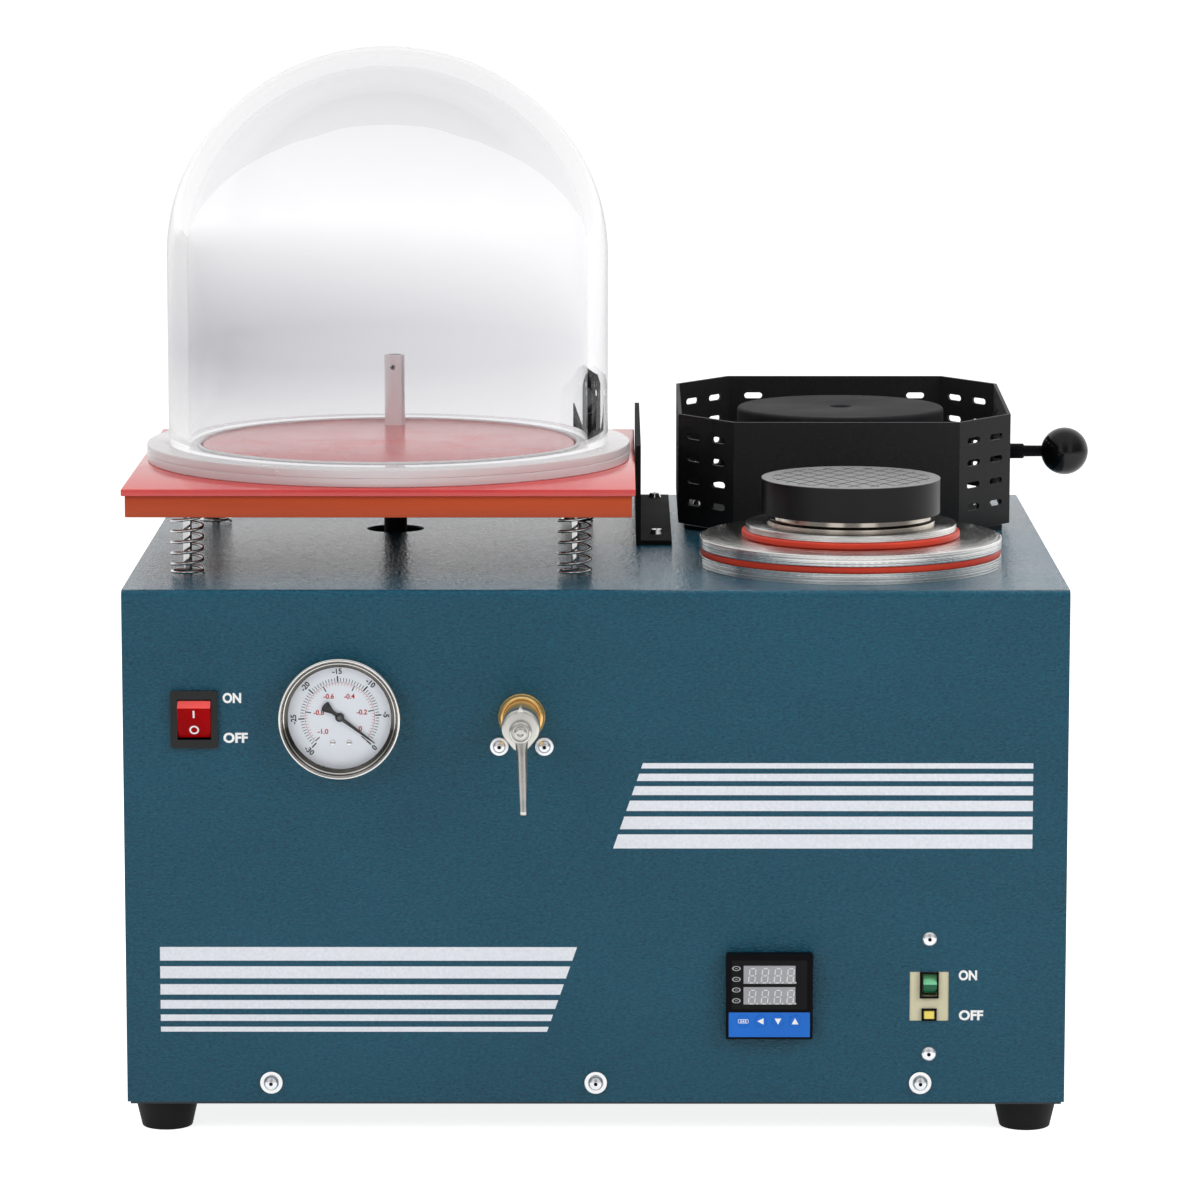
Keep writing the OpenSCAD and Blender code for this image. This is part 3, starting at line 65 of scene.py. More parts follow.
# Centres in x and y, on the cabinet's top
TABLE = (-120, 169)
JAR_CENTRE = (-120, 172)
PIPE = (-119.5, 251)
CHAMBER = (144, 107)
FURNACE = (146, 305)

# Centres in x and z, on the front panel
SWITCH = (-220.5, 215.5)
GAUGE = (-140.5, 217)
VALVE = (-40.6, 217)
CONTROLLER = (96, 61)
BREAKER = (184.6, 60)
TOGGLE = (BREAKER[0] + 0.4, BREAKER[1] + 6.3)

# Ridges in y and z, from the middle of the rocker and of the toggle
ROCKER_RIDGE = (-8.9, 7.1)
TOGGLE_RIDGE = (-8.9, 0.9)

# The angle of the gauge's zero on its dial
ZERO = -42


# ------------------------------------------------------------------ finishes

# A noise texture mostly stays between these two values
NOISE_SPAN = (0.3, 0.7)


def feed(tree, socket, value):
    """Give a socket a number, or a link from another node."""
    if isinstance(value, (int, float)):
        socket.default_value = value
    else:
        tree.links.new(value, socket)


def math_node(tree, operation, first, second=0.0):
    node = tree.nodes.new("ShaderNodeMath")
    node.operation = operation
    feed(tree, node.inputs[0], first)
    feed(tree, node.inputs[1], second)
    return node.outputs[0]


def spread(tree, value, first, last, low=0.0, high=1.0):
    """From low where the value is at first to high where it is at last."""
    node = tree.nodes.new("ShaderNodeMapRange")
    for label, number in (("Value", value), ("From Min", first), ("From Max", last), ("To Min", low),
                          ("To Max", high)):
        feed(tree, node.inputs[label], number)
    return node.outputs[0]


def noise(tree, vector, scale, detail, dimensions="3D", **sockets):
    node = tree.nodes.new("ShaderNodeTexNoise")
    node.noise_dimensions = dimensions
    for label, value in (("Vector", vector), ("Scale", scale), ("Detail", detail), *sockets.items()):
        feed(tree, node.inputs[label], value)
    return node.outputs["Fac"]


def coordinates(tree, kind="Object"):
    return tree.nodes.new("ShaderNodeTexCoord").outputs[kind]


def axes(tree, vector):
    """The x, y and z of a vector."""
    parts = tree.nodes.new("ShaderNodeSeparateXYZ")
    tree.links.new(vector, parts.inputs[0])
    return tuple(parts.outputs)


def effect(name):
    """An empty node group for a pattern, with its sockets and its two end nodes."""
    tree = bpy.data.node_groups.new(name, "ShaderNodeTree")
    for way, kind, labels in (("INPUT", "NodeSocketVector", ("Vector",)),
                              ("INPUT", "NodeSocketFloat", ("Size", "Height", "Rough Low", "Rough High")),
                              ("OUTPUT", "NodeSocketVector", ("Normal",)),
                              ("OUTPUT", "NodeSocketFloat", ("Roughness", "Tone"))):
        for label in labels:
            tree.interface.new_socket(label, in_out=way, socket_type=kind)
    return tree, tree.nodes.new("NodeGroupInput"), tree.nodes.new("NodeGroupOutput")


def end_effect(tree, start, end, relief, gloss, tone):
    """Close a pattern: one value becomes its bump, one its roughness and one its tone."""
    bump = tree.nodes.new("ShaderNodeBump")
    bump.inputs["Strength"].default_value = 1.0
    rough = spread(tree, gloss, *NOISE_SPAN, start.outputs["Rough Low"], start.outputs["Rough High"])
    for value, socket in ((start.outputs["Height"], bump.inputs["Distance"]), (relief, bump.inputs["Height"]),
                          (bump.outputs["Normal"], end.inputs["Normal"]), (rough, end.inputs["Roughness"]),
                          (tone, end.inputs["Tone"])):
        tree.links.new(value, socket)
    return tree


def make_pebble():
    """Baked powder coat: soft pebbles with fine speckle between them."""
    tree, start, end = effect("pebble")
    vector = start.outputs["Vector"]
    cells = noise(tree, vector, start.outputs["Size"], 2.5, Roughness=0.55, Distortion=0.6)
    broad = noise(tree, vector, 9.0, 3.0)
    tone = math_node(tree, "ADD", math_node(tree, "MULTIPLY", cells, 0.8), math_node(tree, "MULTIPLY", broad, 0.2))
    return end_effect(tree, start, end, cells, broad, tone)


def make_turning():
    """Fine rings left by a lathe, on faces and on rims, round the z axis."""
    tree, start, end = effect("turning")
    vector = start.outputs["Vector"]
    x, y, z = axes(tree, vector)
    across = math_node(tree, "ADD", math_node(tree, "MULTIPLY", x, x), math_node(tree, "MULTIPLY", y, y))
    place = tree.nodes.new("ShaderNodeCombineXYZ")
    tree.links.new(math_node(tree, "SQRT", across), place.inputs["X"])
    tree.links.new(z, place.inputs["Y"])
    rings = noise(tree, place.outputs[0], start.outputs["Size"], 4.0, "2D")
    smudge = noise(tree, vector, 35.0, 4.0)
    blend = math_node(tree, "MULTIPLY", math_node(tree, "ADD", rings, smudge), 0.5)
    return end_effect(tree, start, end, rings, blend, smudge)


def make_grain():
    """Fine moulded or rubbed grain, with broad patches of handling."""
    tree, start, end = effect("grain")
    vector = start.outputs["Vector"]
    fine = noise(tree, vector, start.outputs["Size"], 3.0)
    patches = noise(tree, vector, 28.0, 5.0)
    return end_effect(tree, start, end, fine, patches, patches)


PEBBLE = make_pebble()
TURNING = make_turning()
GRAIN = make_grain()


def surface(name):
    """A new material, with its node tree and its shader."""
    material = bpy.data.materials.new(name)
    material.use_nodes = True
    return material, material.node_tree, material.node_tree.nodes["Principled BSDF"]


def patterned(tree, pattern, vector, size, height, rough):
    """A pattern in a material, with its size, its height and the two ends of its roughness."""
    group = tree.nodes.new("ShaderNodeGroup")
    group.node_tree = pattern
    for label, value in (("Vector", vector), ("Size", size), ("Height", height), ("Rough Low", rough[0]),
                         ("Rough High", rough[1])):
        feed(tree, group.inputs[label], value)
    return group


def tint(material, factor, colour):
    """Mix a colour over the one that a material has."""
    tree = material.node_tree
    base = tree.nodes["Principled BSDF"].inputs["Base Color"]
    node = tree.nodes.new("ShaderNodeMix")
    node.data_type = "RGBA"
    tree.links.new(factor, node.inputs["Factor"])
    if base.links:
        tree.links.new(base.links[0].from_socket, node.inputs["A"])
    else:
        node.inputs["A"].default_value = base.default_value
    node.inputs["B"].default_value = (*colour, 1)
    tree.links.new(node.outputs["Result"], base)


def finish(name, pattern, light, dark, size, height, rough, metallic=0.0, top=None, front=None, stretch=None,
           **sockets):
    """A surface: two tones mixed by a pattern, which also sets its bump and gloss. The rings of a turned
    surface run round a centre in the cabinet's top or in its front."""
    material, tree, shader = surface(name)
    mapping = tree.nodes.new("ShaderNodeMapping")
    tree.links.new(coordinates(tree), mapping.inputs["Vector"])
    if top or front:
        mapping.vector_type = "TEXTURE"
        mapping.inputs["Location"].default_value = TO_ROW @ Vector((*top, 0) if top else (front[0], 0, front[1]))
    if front:
        mapping.inputs["Rotation"].default_value = (math.radians(90), 0, 0)
    if stretch:
        mapping.inputs["Scale"].default_value = stretch
    group = patterned(tree, pattern, mapping.outputs[0], size, height, rough)
    shader.inputs["Base Color"].default_value = (*dark, 1)
    tint(material, spread(tree, group.outputs["Tone"], *NOISE_SPAN), light)
    tree.links.new(group.outputs["Normal"], shader.inputs["Normal"])
    tree.links.new(group.outputs["Roughness"], shader.inputs["Roughness"])
    shader.inputs["Metallic"].default_value = metallic
    for label, value in sockets.items():
        shader.inputs[label.replace("_", " ")].default_value = value
    return material


def clear(name, colour, ior, rough, through=1.0):
    """Clear acrylic or glass, faintly tinted, with soft smudges of handling in its gloss."""
    material, tree, shader = surface(name)
    shader.inputs["Base Color"].default_value = (*colour, 1)
    shader.inputs["Transmission Weight"].default_value = through
    shader.inputs["IOR"].default_value = ior
    group = patterned(tree, GRAIN, coordinates(tree), 1500, 0.0, rough)
    tree.links.new(group.outputs["Roughness"], shader.inputs["Roughness"])
    return material


teal_paint = finish("teal_paint", PEBBLE, (0.008, 0.108, 0.172), (0.002, 0.048, 0.084), 480, 0.0009,
                    (0.13, 0.17), stretch=(1, 1, 2.0), Specular_IOR_Level=0.3)
tray_paint = finish("tray_paint", PEBBLE, (0.012, 0.030, 0.045), (0.008, 0.022, 0.034), 420, 0.0002, (0.4, 0.5))
black_enamel = finish("black_enamel", PEBBLE, (0.0180, 0.0180, 0.0185), (0.010, 0.010, 0.0105), 900, 0.0001,
                      (0.5, 0.65), Specular_IOR_Level=0.25)
shield_black = finish("shield_black", PEBBLE, (0.0130, 0.0130, 0.0135), (0.008, 0.008, 0.0085), 900, 0.0001,
                      (0.7, 0.85), Specular_IOR_Level=0.12)
lid_enamel = finish("lid_enamel", GRAIN, (0.017, 0.016, 0.018), (0.009, 0.009, 0.010), 1400, 0.00012,
                    (0.65, 0.8), Specular_IOR_Level=0.2)
turned_steel = finish("turned_steel", TURNING, (0.90, 0.89, 0.87), (0.78, 0.77, 0.75), 2500, 0.0002,
                      (0.10, 0.2), 1.0, top=CHAMBER)
polished_steel = finish("polished_steel", TURNING, (0.74, 0.68, 0.60), (0.56, 0.50, 0.44), 700, 0.00002,
                        (0.08, 0.18), 1.0, top=CHAMBER)
plated_steel = finish("plated_steel", GRAIN, (0.80, 0.80, 0.80), (0.64, 0.64, 0.64), 900, 0.00002,
                      (0.14, 0.3), 1.0)
screw_zinc = finish("screw_zinc", GRAIN, (0.86, 0.87, 0.90), (0.70, 0.71, 0.74), 900, 0.00003,
                    (0.14, 0.3), 0.85)
spring_steel = finish("spring_steel", GRAIN, (0.78, 0.78, 0.77), (0.56, 0.56, 0.55), 900, 0.00002,
                      (0.08, 0.2), 1.0)
pipe_aluminium = finish("pipe_aluminium", GRAIN, (0.88, 0.85, 0.85), (0.66, 0.62, 0.63), 700, 0.00003,
                        (0.2, 0.4), 0.6, stretch=(1, 1, 0.05))
bezel_steel = finish("bezel_steel", TURNING, (0.78, 0.77, 0.74), (0.62, 0.61, 0.59), 1400, 0.000006,
                     (0.06, 0.14), 1.0, front=GAUGE)
# The bezel's inner cone is the same steel made dark: a painted reflection of the dim room in front of it
painted_reflection_steel = finish("painted_reflection_steel", TURNING, (0.13, 0.12, 0.11), (0.05, 0.05, 0.045), 900, 0.00002,
                    (0.08, 0.18), 1.0, front=GAUGE)
lever_nickel = finish("lever_nickel", GRAIN, (0.74, 0.73, 0.69), (0.44, 0.43, 0.40), 600, 0.00004,
                      (0.16, 0.34), 0.85, stretch=(1, 1, 0.12))
valve_brass = finish("valve_brass", TURNING, (0.95, 0.66, 0.28), (0.78, 0.48, 0.16), 1600, 0.00003,
                     (0.14, 0.26), 0.75, front=VALVE)
red_mat = finish("red_mat", GRAIN, (0.68, 0.055, 0.052), (0.60, 0.044, 0.044), 1100, 0.00005, (0.12, 0.22),
                 Specular_IOR_Level=0.65)
seal_red = finish("seal_red", GRAIN, (0.68, 0.060, 0.028), (0.56, 0.040, 0.020), 1000, 0.00005, (0.32, 0.5),
                  Specular_IOR_Level=0.3)
laminate = finish("laminate", GRAIN, (0.52, 0.072, 0.018), (0.42, 0.052, 0.012), 500, 0.00004, (0.32, 0.5),
                  stretch=(0.15, 0.15, 4), Specular_IOR_Level=0.35)
black_rubber = finish("black_rubber", GRAIN, (0.008, 0.008, 0.008), (0.004, 0.004, 0.004), 1200, 0.0001,
                      (0.5, 0.75), Specular_IOR_Level=0.18)
grooved_rubber = finish("grooved_rubber", GRAIN, (0.007, 0.007, 0.008), (0.004, 0.004, 0.005), 1400, 0.00005,
                        (0.28, 0.42), Specular_IOR_Level=0.25)
black_gloss = finish("black_gloss", GRAIN, (0.005, 0.005, 0.006), (0.003, 0.003, 0.004), 300, 0.00001,
                     (0.08, 0.18), Specular_IOR_Level=0.3)
black_satin = finish("black_satin", GRAIN, (0.004, 0.004, 0.005), (0.003, 0.003, 0.004), 1400, 0.00004,
                     (0.3, 0.45), Specular_IOR_Level=0.05)
switch_red = finish("switch_red", GRAIN, (0.44, 0.001, 0.003), (0.34, 0.0005, 0.002), 200, 0.00001, (0.2, 0.35),
                    Specular_IOR_Level=0.05)
mark_white = finish("mark_white", GRAIN, (1.0, 1.0, 1.0), (0.97, 0.97, 0.97), 900, 0.00002, (0.45, 0.6))
stripe_white = finish("stripe_white", PEBBLE, (0.92, 0.94, 1.00), (0.78, 0.81, 0.87), 520, 0.0003, (0.42, 0.55),
                      Specular_IOR_Level=0.3)
dial_white = finish("dial_white", GRAIN, (0.84, 0.88, 0.94), (0.79, 0.83, 0.89), 500, 0.00001, (0.5, 0.6))
dial_black = finish("dial_black", GRAIN, (0.012, 0.012, 0.014), (0.008, 0.008, 0.009), 500, 0.00001, (0.5, 0.6))
dial_red = finish("dial_red", GRAIN, (0.55, 0.02, 0.02), (0.42, 0.015, 0.015), 500, 0.00001, (0.5, 0.6))
window_grey = finish("window_grey", GRAIN, (0.005, 0.005, 0.006), (0.003, 0.003, 0.004), 300, 0.00001,
                     (0.12, 0.2), Specular_IOR_Level=0.1)
display_grey = finish("display_grey", GRAIN, (0.42, 0.42, 0.44), (0.33, 0.33, 0.35), 300, 0.00001, (0.2, 0.3))
digit_pale = finish("digit_pale", GRAIN, (0.78, 0.78, 0.80), (0.70, 0.70, 0.72), 300, 0.00001, (0.3, 0.4))
key_blue = finish("key_blue", GRAIN, (0.010, 0.170, 0.70), (0.007, 0.140, 0.58), 700, 0.00001, (0.3, 0.45),
                  Specular_IOR_Level=0.3)
green_key = finish("green_key", GRAIN, (0.010, 0.17, 0.075), (0.006, 0.12, 0.05), 300, 0.00001, (0.2, 0.35),
                   Specular_IOR_Level=0.3)
yellow_key = finish("yellow_key", GRAIN, (0.98, 0.78, 0.15), (0.92, 0.70, 0.11), 300, 0.00001, (0.25, 0.4))
beige_case = finish("beige_case", GRAIN, (0.76, 0.71, 0.50), (0.66, 0.61, 0.41), 1200, 0.00004, (0.4, 0.55),
                    Specular_IOR_Level=0.3)
ceramic = finish("ceramic", GRAIN, (0.70, 0.66, 0.58), (0.58, 0.54, 0.46), 500, 0.0003, (0.8, 0.95))
graphite = finish("graphite", GRAIN, (0.030, 0.030, 0.032), (0.018, 0.018, 0.019), 900, 0.0001, (0.45, 0.65))
pump_paint = finish("pump_paint", PEBBLE, (0.045, 0.065, 0.085), (0.035, 0.050, 0.068), 300, 0.0003, (0.35, 0.5))
motor_paint = finish("motor_paint", PEBBLE, (0.11, 0.115, 0.125), (0.085, 0.09, 0.10), 400, 0.0002, (0.4, 0.55))
acrylic = clear("acrylic", (0.972, 0.972, 0.980), 1.2, (0.0, 0.02))
# The foot's faint pink is a painted reflection of the red mat under it
acrylic_edge = clear("acrylic_edge", (1.0, 0.945, 0.958), 1.45, (0.12, 0.3), 0.35)
gauge_glass = clear("gauge_glass", (1.0, 1.0, 1.0), 1.15, (0.0, 0.02))


def painted_shade_band(material, low, middle, high, fade, colour):
    """Painted grey shade round the jar between two heights, which fades by a share towards the right."""
    tree = material.node_tree
    x, y, z = axes(tree, coordinates(tree))
    painted_shade = math_node(tree, "MULTIPLY", spread(tree, z, low, middle), spread(tree, z, high, middle))
    across = math_node(tree, "MULTIPLY", spread(tree, x, JAR_BOX[0][0], JAR_BOX[1][0]), fade)
    tint(material, math_node(tree, "MULTIPLY", painted_shade, math_node(tree, "SUBTRACT", 1.0, across)), colour)


def painted_light_above(material, height, colour):
    """Painted light: a lighter second colour from a height in the piece up, for a top or a face that catches the
    light.
    """
    tree = material.node_tree
    tint(material, math_node(tree, "GREATER_THAN", axes(tree, coordinates(tree))[2], height), colour)


# The painted shade on the jar starts, is fullest and ends at these heights
JAR_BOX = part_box("jar_dome")
JAR_LOW, JAR_HIGH = JAR_BOX[0][2], JAR_BOX[1][2]
SIDE_PAINTED_SHADE = (JAR_LOW + 0.006, JAR_LOW + 0.055, JAR_LOW + 0.128)
CROWN_PAINTED_SHADE = (JAR_LOW + 0.120, JAR_HIGH, JAR_HIGH + 0.1)
painted_shade_band(acrylic, *SIDE_PAINTED_SHADE, 0.65, (0.73, 0.727, 0.755))
painted_shade_band(acrylic, *CROWN_PAINTED_SHADE, -0.2, (0.87, 0.868, 0.88))

# Painted sheen on the tops of the pad's grooves, lighter than the dark groove bottoms
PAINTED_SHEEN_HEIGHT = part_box("plug_pad")[1][2] - 0.0003
painted_light_above(grooved_rubber, PAINTED_SHEEN_HEIGHT, (0.20, 0.20, 0.205))
# Painted highlight on the rocker's upper face above its ridge, where it catches the light
painted_light_above(switch_red, (TO_ROW @ Vector((0, 0, SWITCH[1] + ROCKER_RIDGE[1])))[2], (1.0, 0.12, 0.11))
# Painted highlight on the toggle's upper face above its ridge
painted_light_above(green_key, (TO_ROW @ Vector((0, 0, TOGGLE[1] + TOGGLE_RIDGE[1])))[2], (0.22, 0.66, 0.36))


# ------------------------------------------------------------------ making


def finished(bm, name, body, material, stands_for=(), sharp=32, outward=True):
    """Close a shape, put it in its place and hang it on its body."""
    bmesh.ops.remove_doubles(bm, verts=bm.verts, dist=0.0008)
    if outward:
        bmesh.ops.recalc_face_normals(bm, faces=bm.faces)
    bm.transform(TO_ROW)
    mesh = bpy.data.meshes.new(name)
    bm.to_mesh(mesh)
    bm.free()
    for face in mesh.polygons:
        face.use_smooth = True
    mesh.set_sharp_from_angle(angle=math.radians(sharp))
    piece = bpy.data.objects.new(name, mesh)
    scene.collection.objects.link(piece)
    mesh.materials.append(material)
    if stands_for:
        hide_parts(*stands_for)
    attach(piece, body)
    return piece


def rounded(points, radius, closed=True, steps=4):
    """The corners of a flat outline drawn round."""
    out = []
    count = len(points)
    for i, corner in enumerate(points):
        here = Vector(corner)
        if not closed and i in (0, count - 1):
            out.append(tuple(here))
            continue
        back = Vector(points[i - 1]) - here
        ahead = Vector(points[(i + 1) % count]) - here
        reach = min(radius, back.length * 0.45, ahead.length * 0.45)
        first, last = here + back.normalized() * reach, here + ahead.normalized() * reach
        for k in range(steps + 1):
            t = k / steps
            out.append(tuple(first * (1 - t) ** 2 + here * 2 * t * (1 - t) + last * t ** 2))
    return out


def turned(bm, profile, place, soft=0.0, steps=48, closed=True, corner=4):
    """Spin a profile of radius and height round the z axis, its corners drawn round where soft is given,
    and set it in place."""
    if soft:
        profile = rounded(profile, soft, closed, corner)
    points = [bm.verts.new((radius, 0, height)) for radius, height in profile]
    pairs = zip(points, points[1:] + points[:1]) if closed else zip(points, points[1:])
    lines = [bm.edges.new(pair) for pair in pairs]
    before = set(bm.verts) - set(points)
    bmesh.ops.spin(bm, geom=points + lines, cent=(0, 0, 0), axis=(0, 0, 1), dvec=(0, 0, 0),
                   angle=math.tau, steps=steps, use_merge=True, use_duplicate=False)
    bmesh.ops.transform(bm, matrix=place, verts=[v for v in bm.verts if v not in before])


def on_top(centre, height=0.0):
    return Matrix.Translation((centre[0], centre[1], height))


def on_front(centre, depth=0.0):
    """Heights of a turned shape come forward from the front panel."""
    return Matrix.Translation((centre[0], depth, centre[1])) @ TO_FRONT


def disc(bm, place, outer, low, high, inner=0.0, edge=0.5, steps=128):
    """A turned plate or ring with softly rounded edges."""
    turned(bm, [(inner, low), (outer, low), (outer, high), (inner, high)], place, edge, steps, inner > 0)


def ease(bm, lines, edge, segments=2, profile=0.5):
    """Round off some edges."""
    bmesh.ops.bevel(bm, geom=lines, offset=edge, offset_type="OFFSET", segments=segments, profile=profile,
                    affect="EDGES", material=-1, clamp_overlap=True)


def block(bm, low, high, edge=0.0):
    """A cuboid between two corners, its edges eased where edge is given."""
    made = bmesh.ops.create_cube(bm, size=1.0)["verts"]
    bmesh.ops.scale(bm, vec=Vector(high) - Vector(low), verts=made)
    bmesh.ops.translate(bm, vec=(Vector(high) + Vector(low)) / 2, verts=made)
    if edge:
        ease(bm, list({line for vert in made for line in vert.link_edges}), edge)


def lifted(bm, face, vec):
    """Draw a flat face out into a solid, and give the points that moved."""
    made = bmesh.ops.extrude_face_region(bm, geom=[face])["geom"]
    moved = [item for item in made if isinstance(item, bmesh.types.BMVert)]
    bmesh.ops.translate(bm, vec=vec, verts=moved)
    return moved


def plate(bm, outline, near, far, edge=0.0):
    """A flat outline in x and z, given thickness between two heights off the panel."""
    face = bm.faces.new([bm.verts.new((x, z, near)) for x, z in outline])
    top = lifted(bm, face, (0, 0, far - near))
    if edge:
        rim = {line for vert in top for line in vert.link_edges if all(v in top for v in line.verts)}
        ease(bm, list(rim), edge)


def profile_bar(bm, outline, width, edge):
    """A side outline in y and z drawn across in x about the middle, with its ends eased."""
    face = bm.faces.new([bm.verts.new((-width / 2, y, z)) for y, z in outline])
    lifted(bm, face, (width, 0, 0))
    ease(bm, [line for line in bm.edges if abs(line.verts[0].co.x - line.verts[1].co.x) < 1e-4], edge)


def raised(outlines, name, body, material, near, far):
    """Several flat outlines raised off the front panel as one piece."""
    bm = bmesh.new()
    for outline in outlines:
        plate(bm, outline, near, far)
    bmesh.ops.transform(bm, matrix=TO_FRONT, verts=bm.verts)
    finished(bm, name, body, material)


def box_outline(x0, x1, z0, z1):
    return [(x0, z0), (x1, z0), (x1, z1), (x0, z1)]


def lettering(name, words, body, material, depth, thick, narrow=1.0):
    """Printed numbers or words: (text, size, x, z, turn, weight) from the panel's front."""
    bm = bmesh.new()
    for text, size, x, z, turn, weight in words:
        curve = bpy.data.curves.new(name, "FONT")
        curve.body = text
        curve.size = size
        curve.align_x = "CENTER"
        curve.align_y = "CENTER"
        curve.offset = weight
        curve.extrude = thick / 2
        curve.resolution_u = 4
        writer = bpy.data.objects.new(name + "_curve", curve)
        scene.collection.objects.link(writer)
        bpy.context.view_layer.update()
        flat = bpy.data.meshes.new_from_object(writer.evaluated_get(bpy.context.evaluated_depsgraph_get()))
        flat.transform(Matrix.Translation((x, -depth, z)) @ Matrix.Rotation(turn, 4, "Y") @ TO_FRONT
                       @ Matrix.Diagonal((narrow, 1, 1, 1)))
        bm.from_mesh(flat)
        bpy.data.objects.remove(writer)
        bpy.data.curves.remove(curve)
        bpy.data.meshes.remove(flat)
    finished(bm, name, body, material, outward=False)


# ------------------------------------------------------------------ cabinet

for node, material in {
    "cabinet_shell": teal_paint, "base_tray": tray_paint, "rear_panel": teal_paint,
    "case_screws": plated_steel, "top_screws": plated_steel, "pump_switch_body": black_gloss,
    "gauge_case": plated_steel, "gauge_dial": dial_white, "gauge_needle": dial_black,
    "valve_body": valve_brass, "valve_stem": plated_steel, "controller_case": black_satin,
    "controller_window": window_grey, "controller_keypad": key_blue,
    "key_set": key_blue, "key_left": key_blue, "key_down": key_blue, "key_up": key_blue,
    "breaker_body": beige_case, "breaker_frames": black_satin, "breaker_button": yellow_key,
    "table_rods": spring_steel, "suction_pipe": pipe_aluminium, "chamber_can": turned_steel,
    "plug_pad": grooved_rubber, "furnace_base": black_enamel, "furnace_sleeve": black_enamel,
    "furnace_liner": ceramic, "crucible": graphite, "guard_shell": black_enamel,
    "guard_hinges": black_enamel, "heat_shield": shield_black, "pump_housing": pump_paint,
    "pump_motor": motor_paint, "motor_rotor": plated_steel, "power_inlet": black_satin,
}.items():
    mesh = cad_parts[node].data
    mesh.materials.clear()
    mesh.materials.append(material)


def printed_stripes():
    """Bands that thin out downwards; the upper set starts on a slant and the lower set ends on one."""
    upper = [(191.1, 188.1), (185.2, 181.1), (178.2, 173.2), (170.1, 164.3), (161.2, 154.1), (151.2, 143.3)]
    lower = [(87.7, 80.0), (76.8, 70.0), (66.7, 60.8), (57.7, 52.8), (49.5, 45.9), (42.6, 39.8)]
    left, right = -241.0, 240.7
    bands = []
    for top, low in upper:
        slant = [26.0 - (upper[0][0] - z) * 0.343 for z in (low, top)]
        bands.append([(slant[0], low), (right, low), (right, top), (slant[1], top)])
    for top, low in lower:
        slant = [-10.3 - (lower[0][0] - z) * 0.349 for z in (low, top)]
        bands.append([(left, low), (slant[0], low), (slant[1], top), (left, top)])
    raised(bands, "front_stripes", "cabinet", stripe_white, 0.0, 0.12)


def switch_words():
    tall, bold, depth, thick = 7.4, 0.3, 0.05, 0.06
    for name, word, narrow, places in (("words_on", "ON", 0.88, ((-199.7, 227.0), (206.0, 71.6))),
                                       ("words_off", "OFF", 1.03, ((-198.0, 204.8), (207.8, 49.0)))):
        lettering(name, [(word, tall, x, z, 0, bold) for x, z in places], "cabinet", mark_white, depth, thick,
                  narrow)


def rubber_feet():
    bm = bmesh.new()
    foot = [(5, -1.5), (18, -1.5), (14.0, -19), (8, -19), (8, -9.5), (5, -9.5)]
    for x in (-240, 240):
        for y in (25, 381):
            turned(bm, foot, on_top((x, y)), 0.8, 64)
    finished(bm, "feet", "cabinet", black_rubber, ("rubber_feet",))


printed_stripes()
switch_words()
rubber_feet()


# ------------------------------------------------------------------ pump switch


def pump_rocker():
    place = Matrix.Translation((SWITCH[0], 2, SWITCH[1]))
    bm = bmesh.new()
    profile_bar(bm, rounded([(-3.0, 10.6), ROCKER_RIDGE, (-2.4, -10.3), (4, -5), (4, 5)], 0.5, steps=3), 18, 0.35)
    bmesh.ops.transform(bm, matrix=place, verts=bm.verts)
    finished(bm, "rocker", "pump_switch", switch_red, ("pump_switch_rocker",))

    # The marks lie on the face that slopes back below the ridge, 6.5 over a fall of 17.4
    slope = place @ Matrix.Translation((0, *ROCKER_RIDGE)) @ Matrix.Rotation(math.atan2(6.5, 17.4), 4, "X")
    near, far = -0.3, 0.08
    bm = bmesh.new()
    plate(bm, box_outline(-0.5, 0.5, -6.0, -1.5), near, far)
    turned(bm, box_outline(1.75, 2.65, near, far), Matrix.Translation((0, -13.6, 0)), steps=40)
    bmesh.ops.transform(bm, matrix=slope @ TO_FRONT, verts=bm.verts)
    finished(bm, "rocker_marks", "pump_switch", mark_white)


pump_rocker()


# ------------------------------------------------------------------ gauge


def at_angle(angle, radius):
    return radius * math.cos(math.radians(angle)), radius * math.sin(math.radians(angle))


def gauge_ticks(bm, step, count, near, far, width):
    """Short lines from the zero round the dial, one at every step of so many degrees."""
    for i in range(count):
        made = bmesh.ops.create_grid(bm, x_segments=1, y_segments=1, size=0.5)["verts"]
        bmesh.ops.scale(bm, vec=(far - near, width, 1), verts=made)
        bmesh.ops.translate(bm, vec=((near + far) / 2, 0, 0), verts=made)
        bmesh.ops.rotate(bm, cent=(0, 0, 0), matrix=Matrix.Rotation(math.radians(ZERO + step * i), 3, "Z"),
                         verts=made)


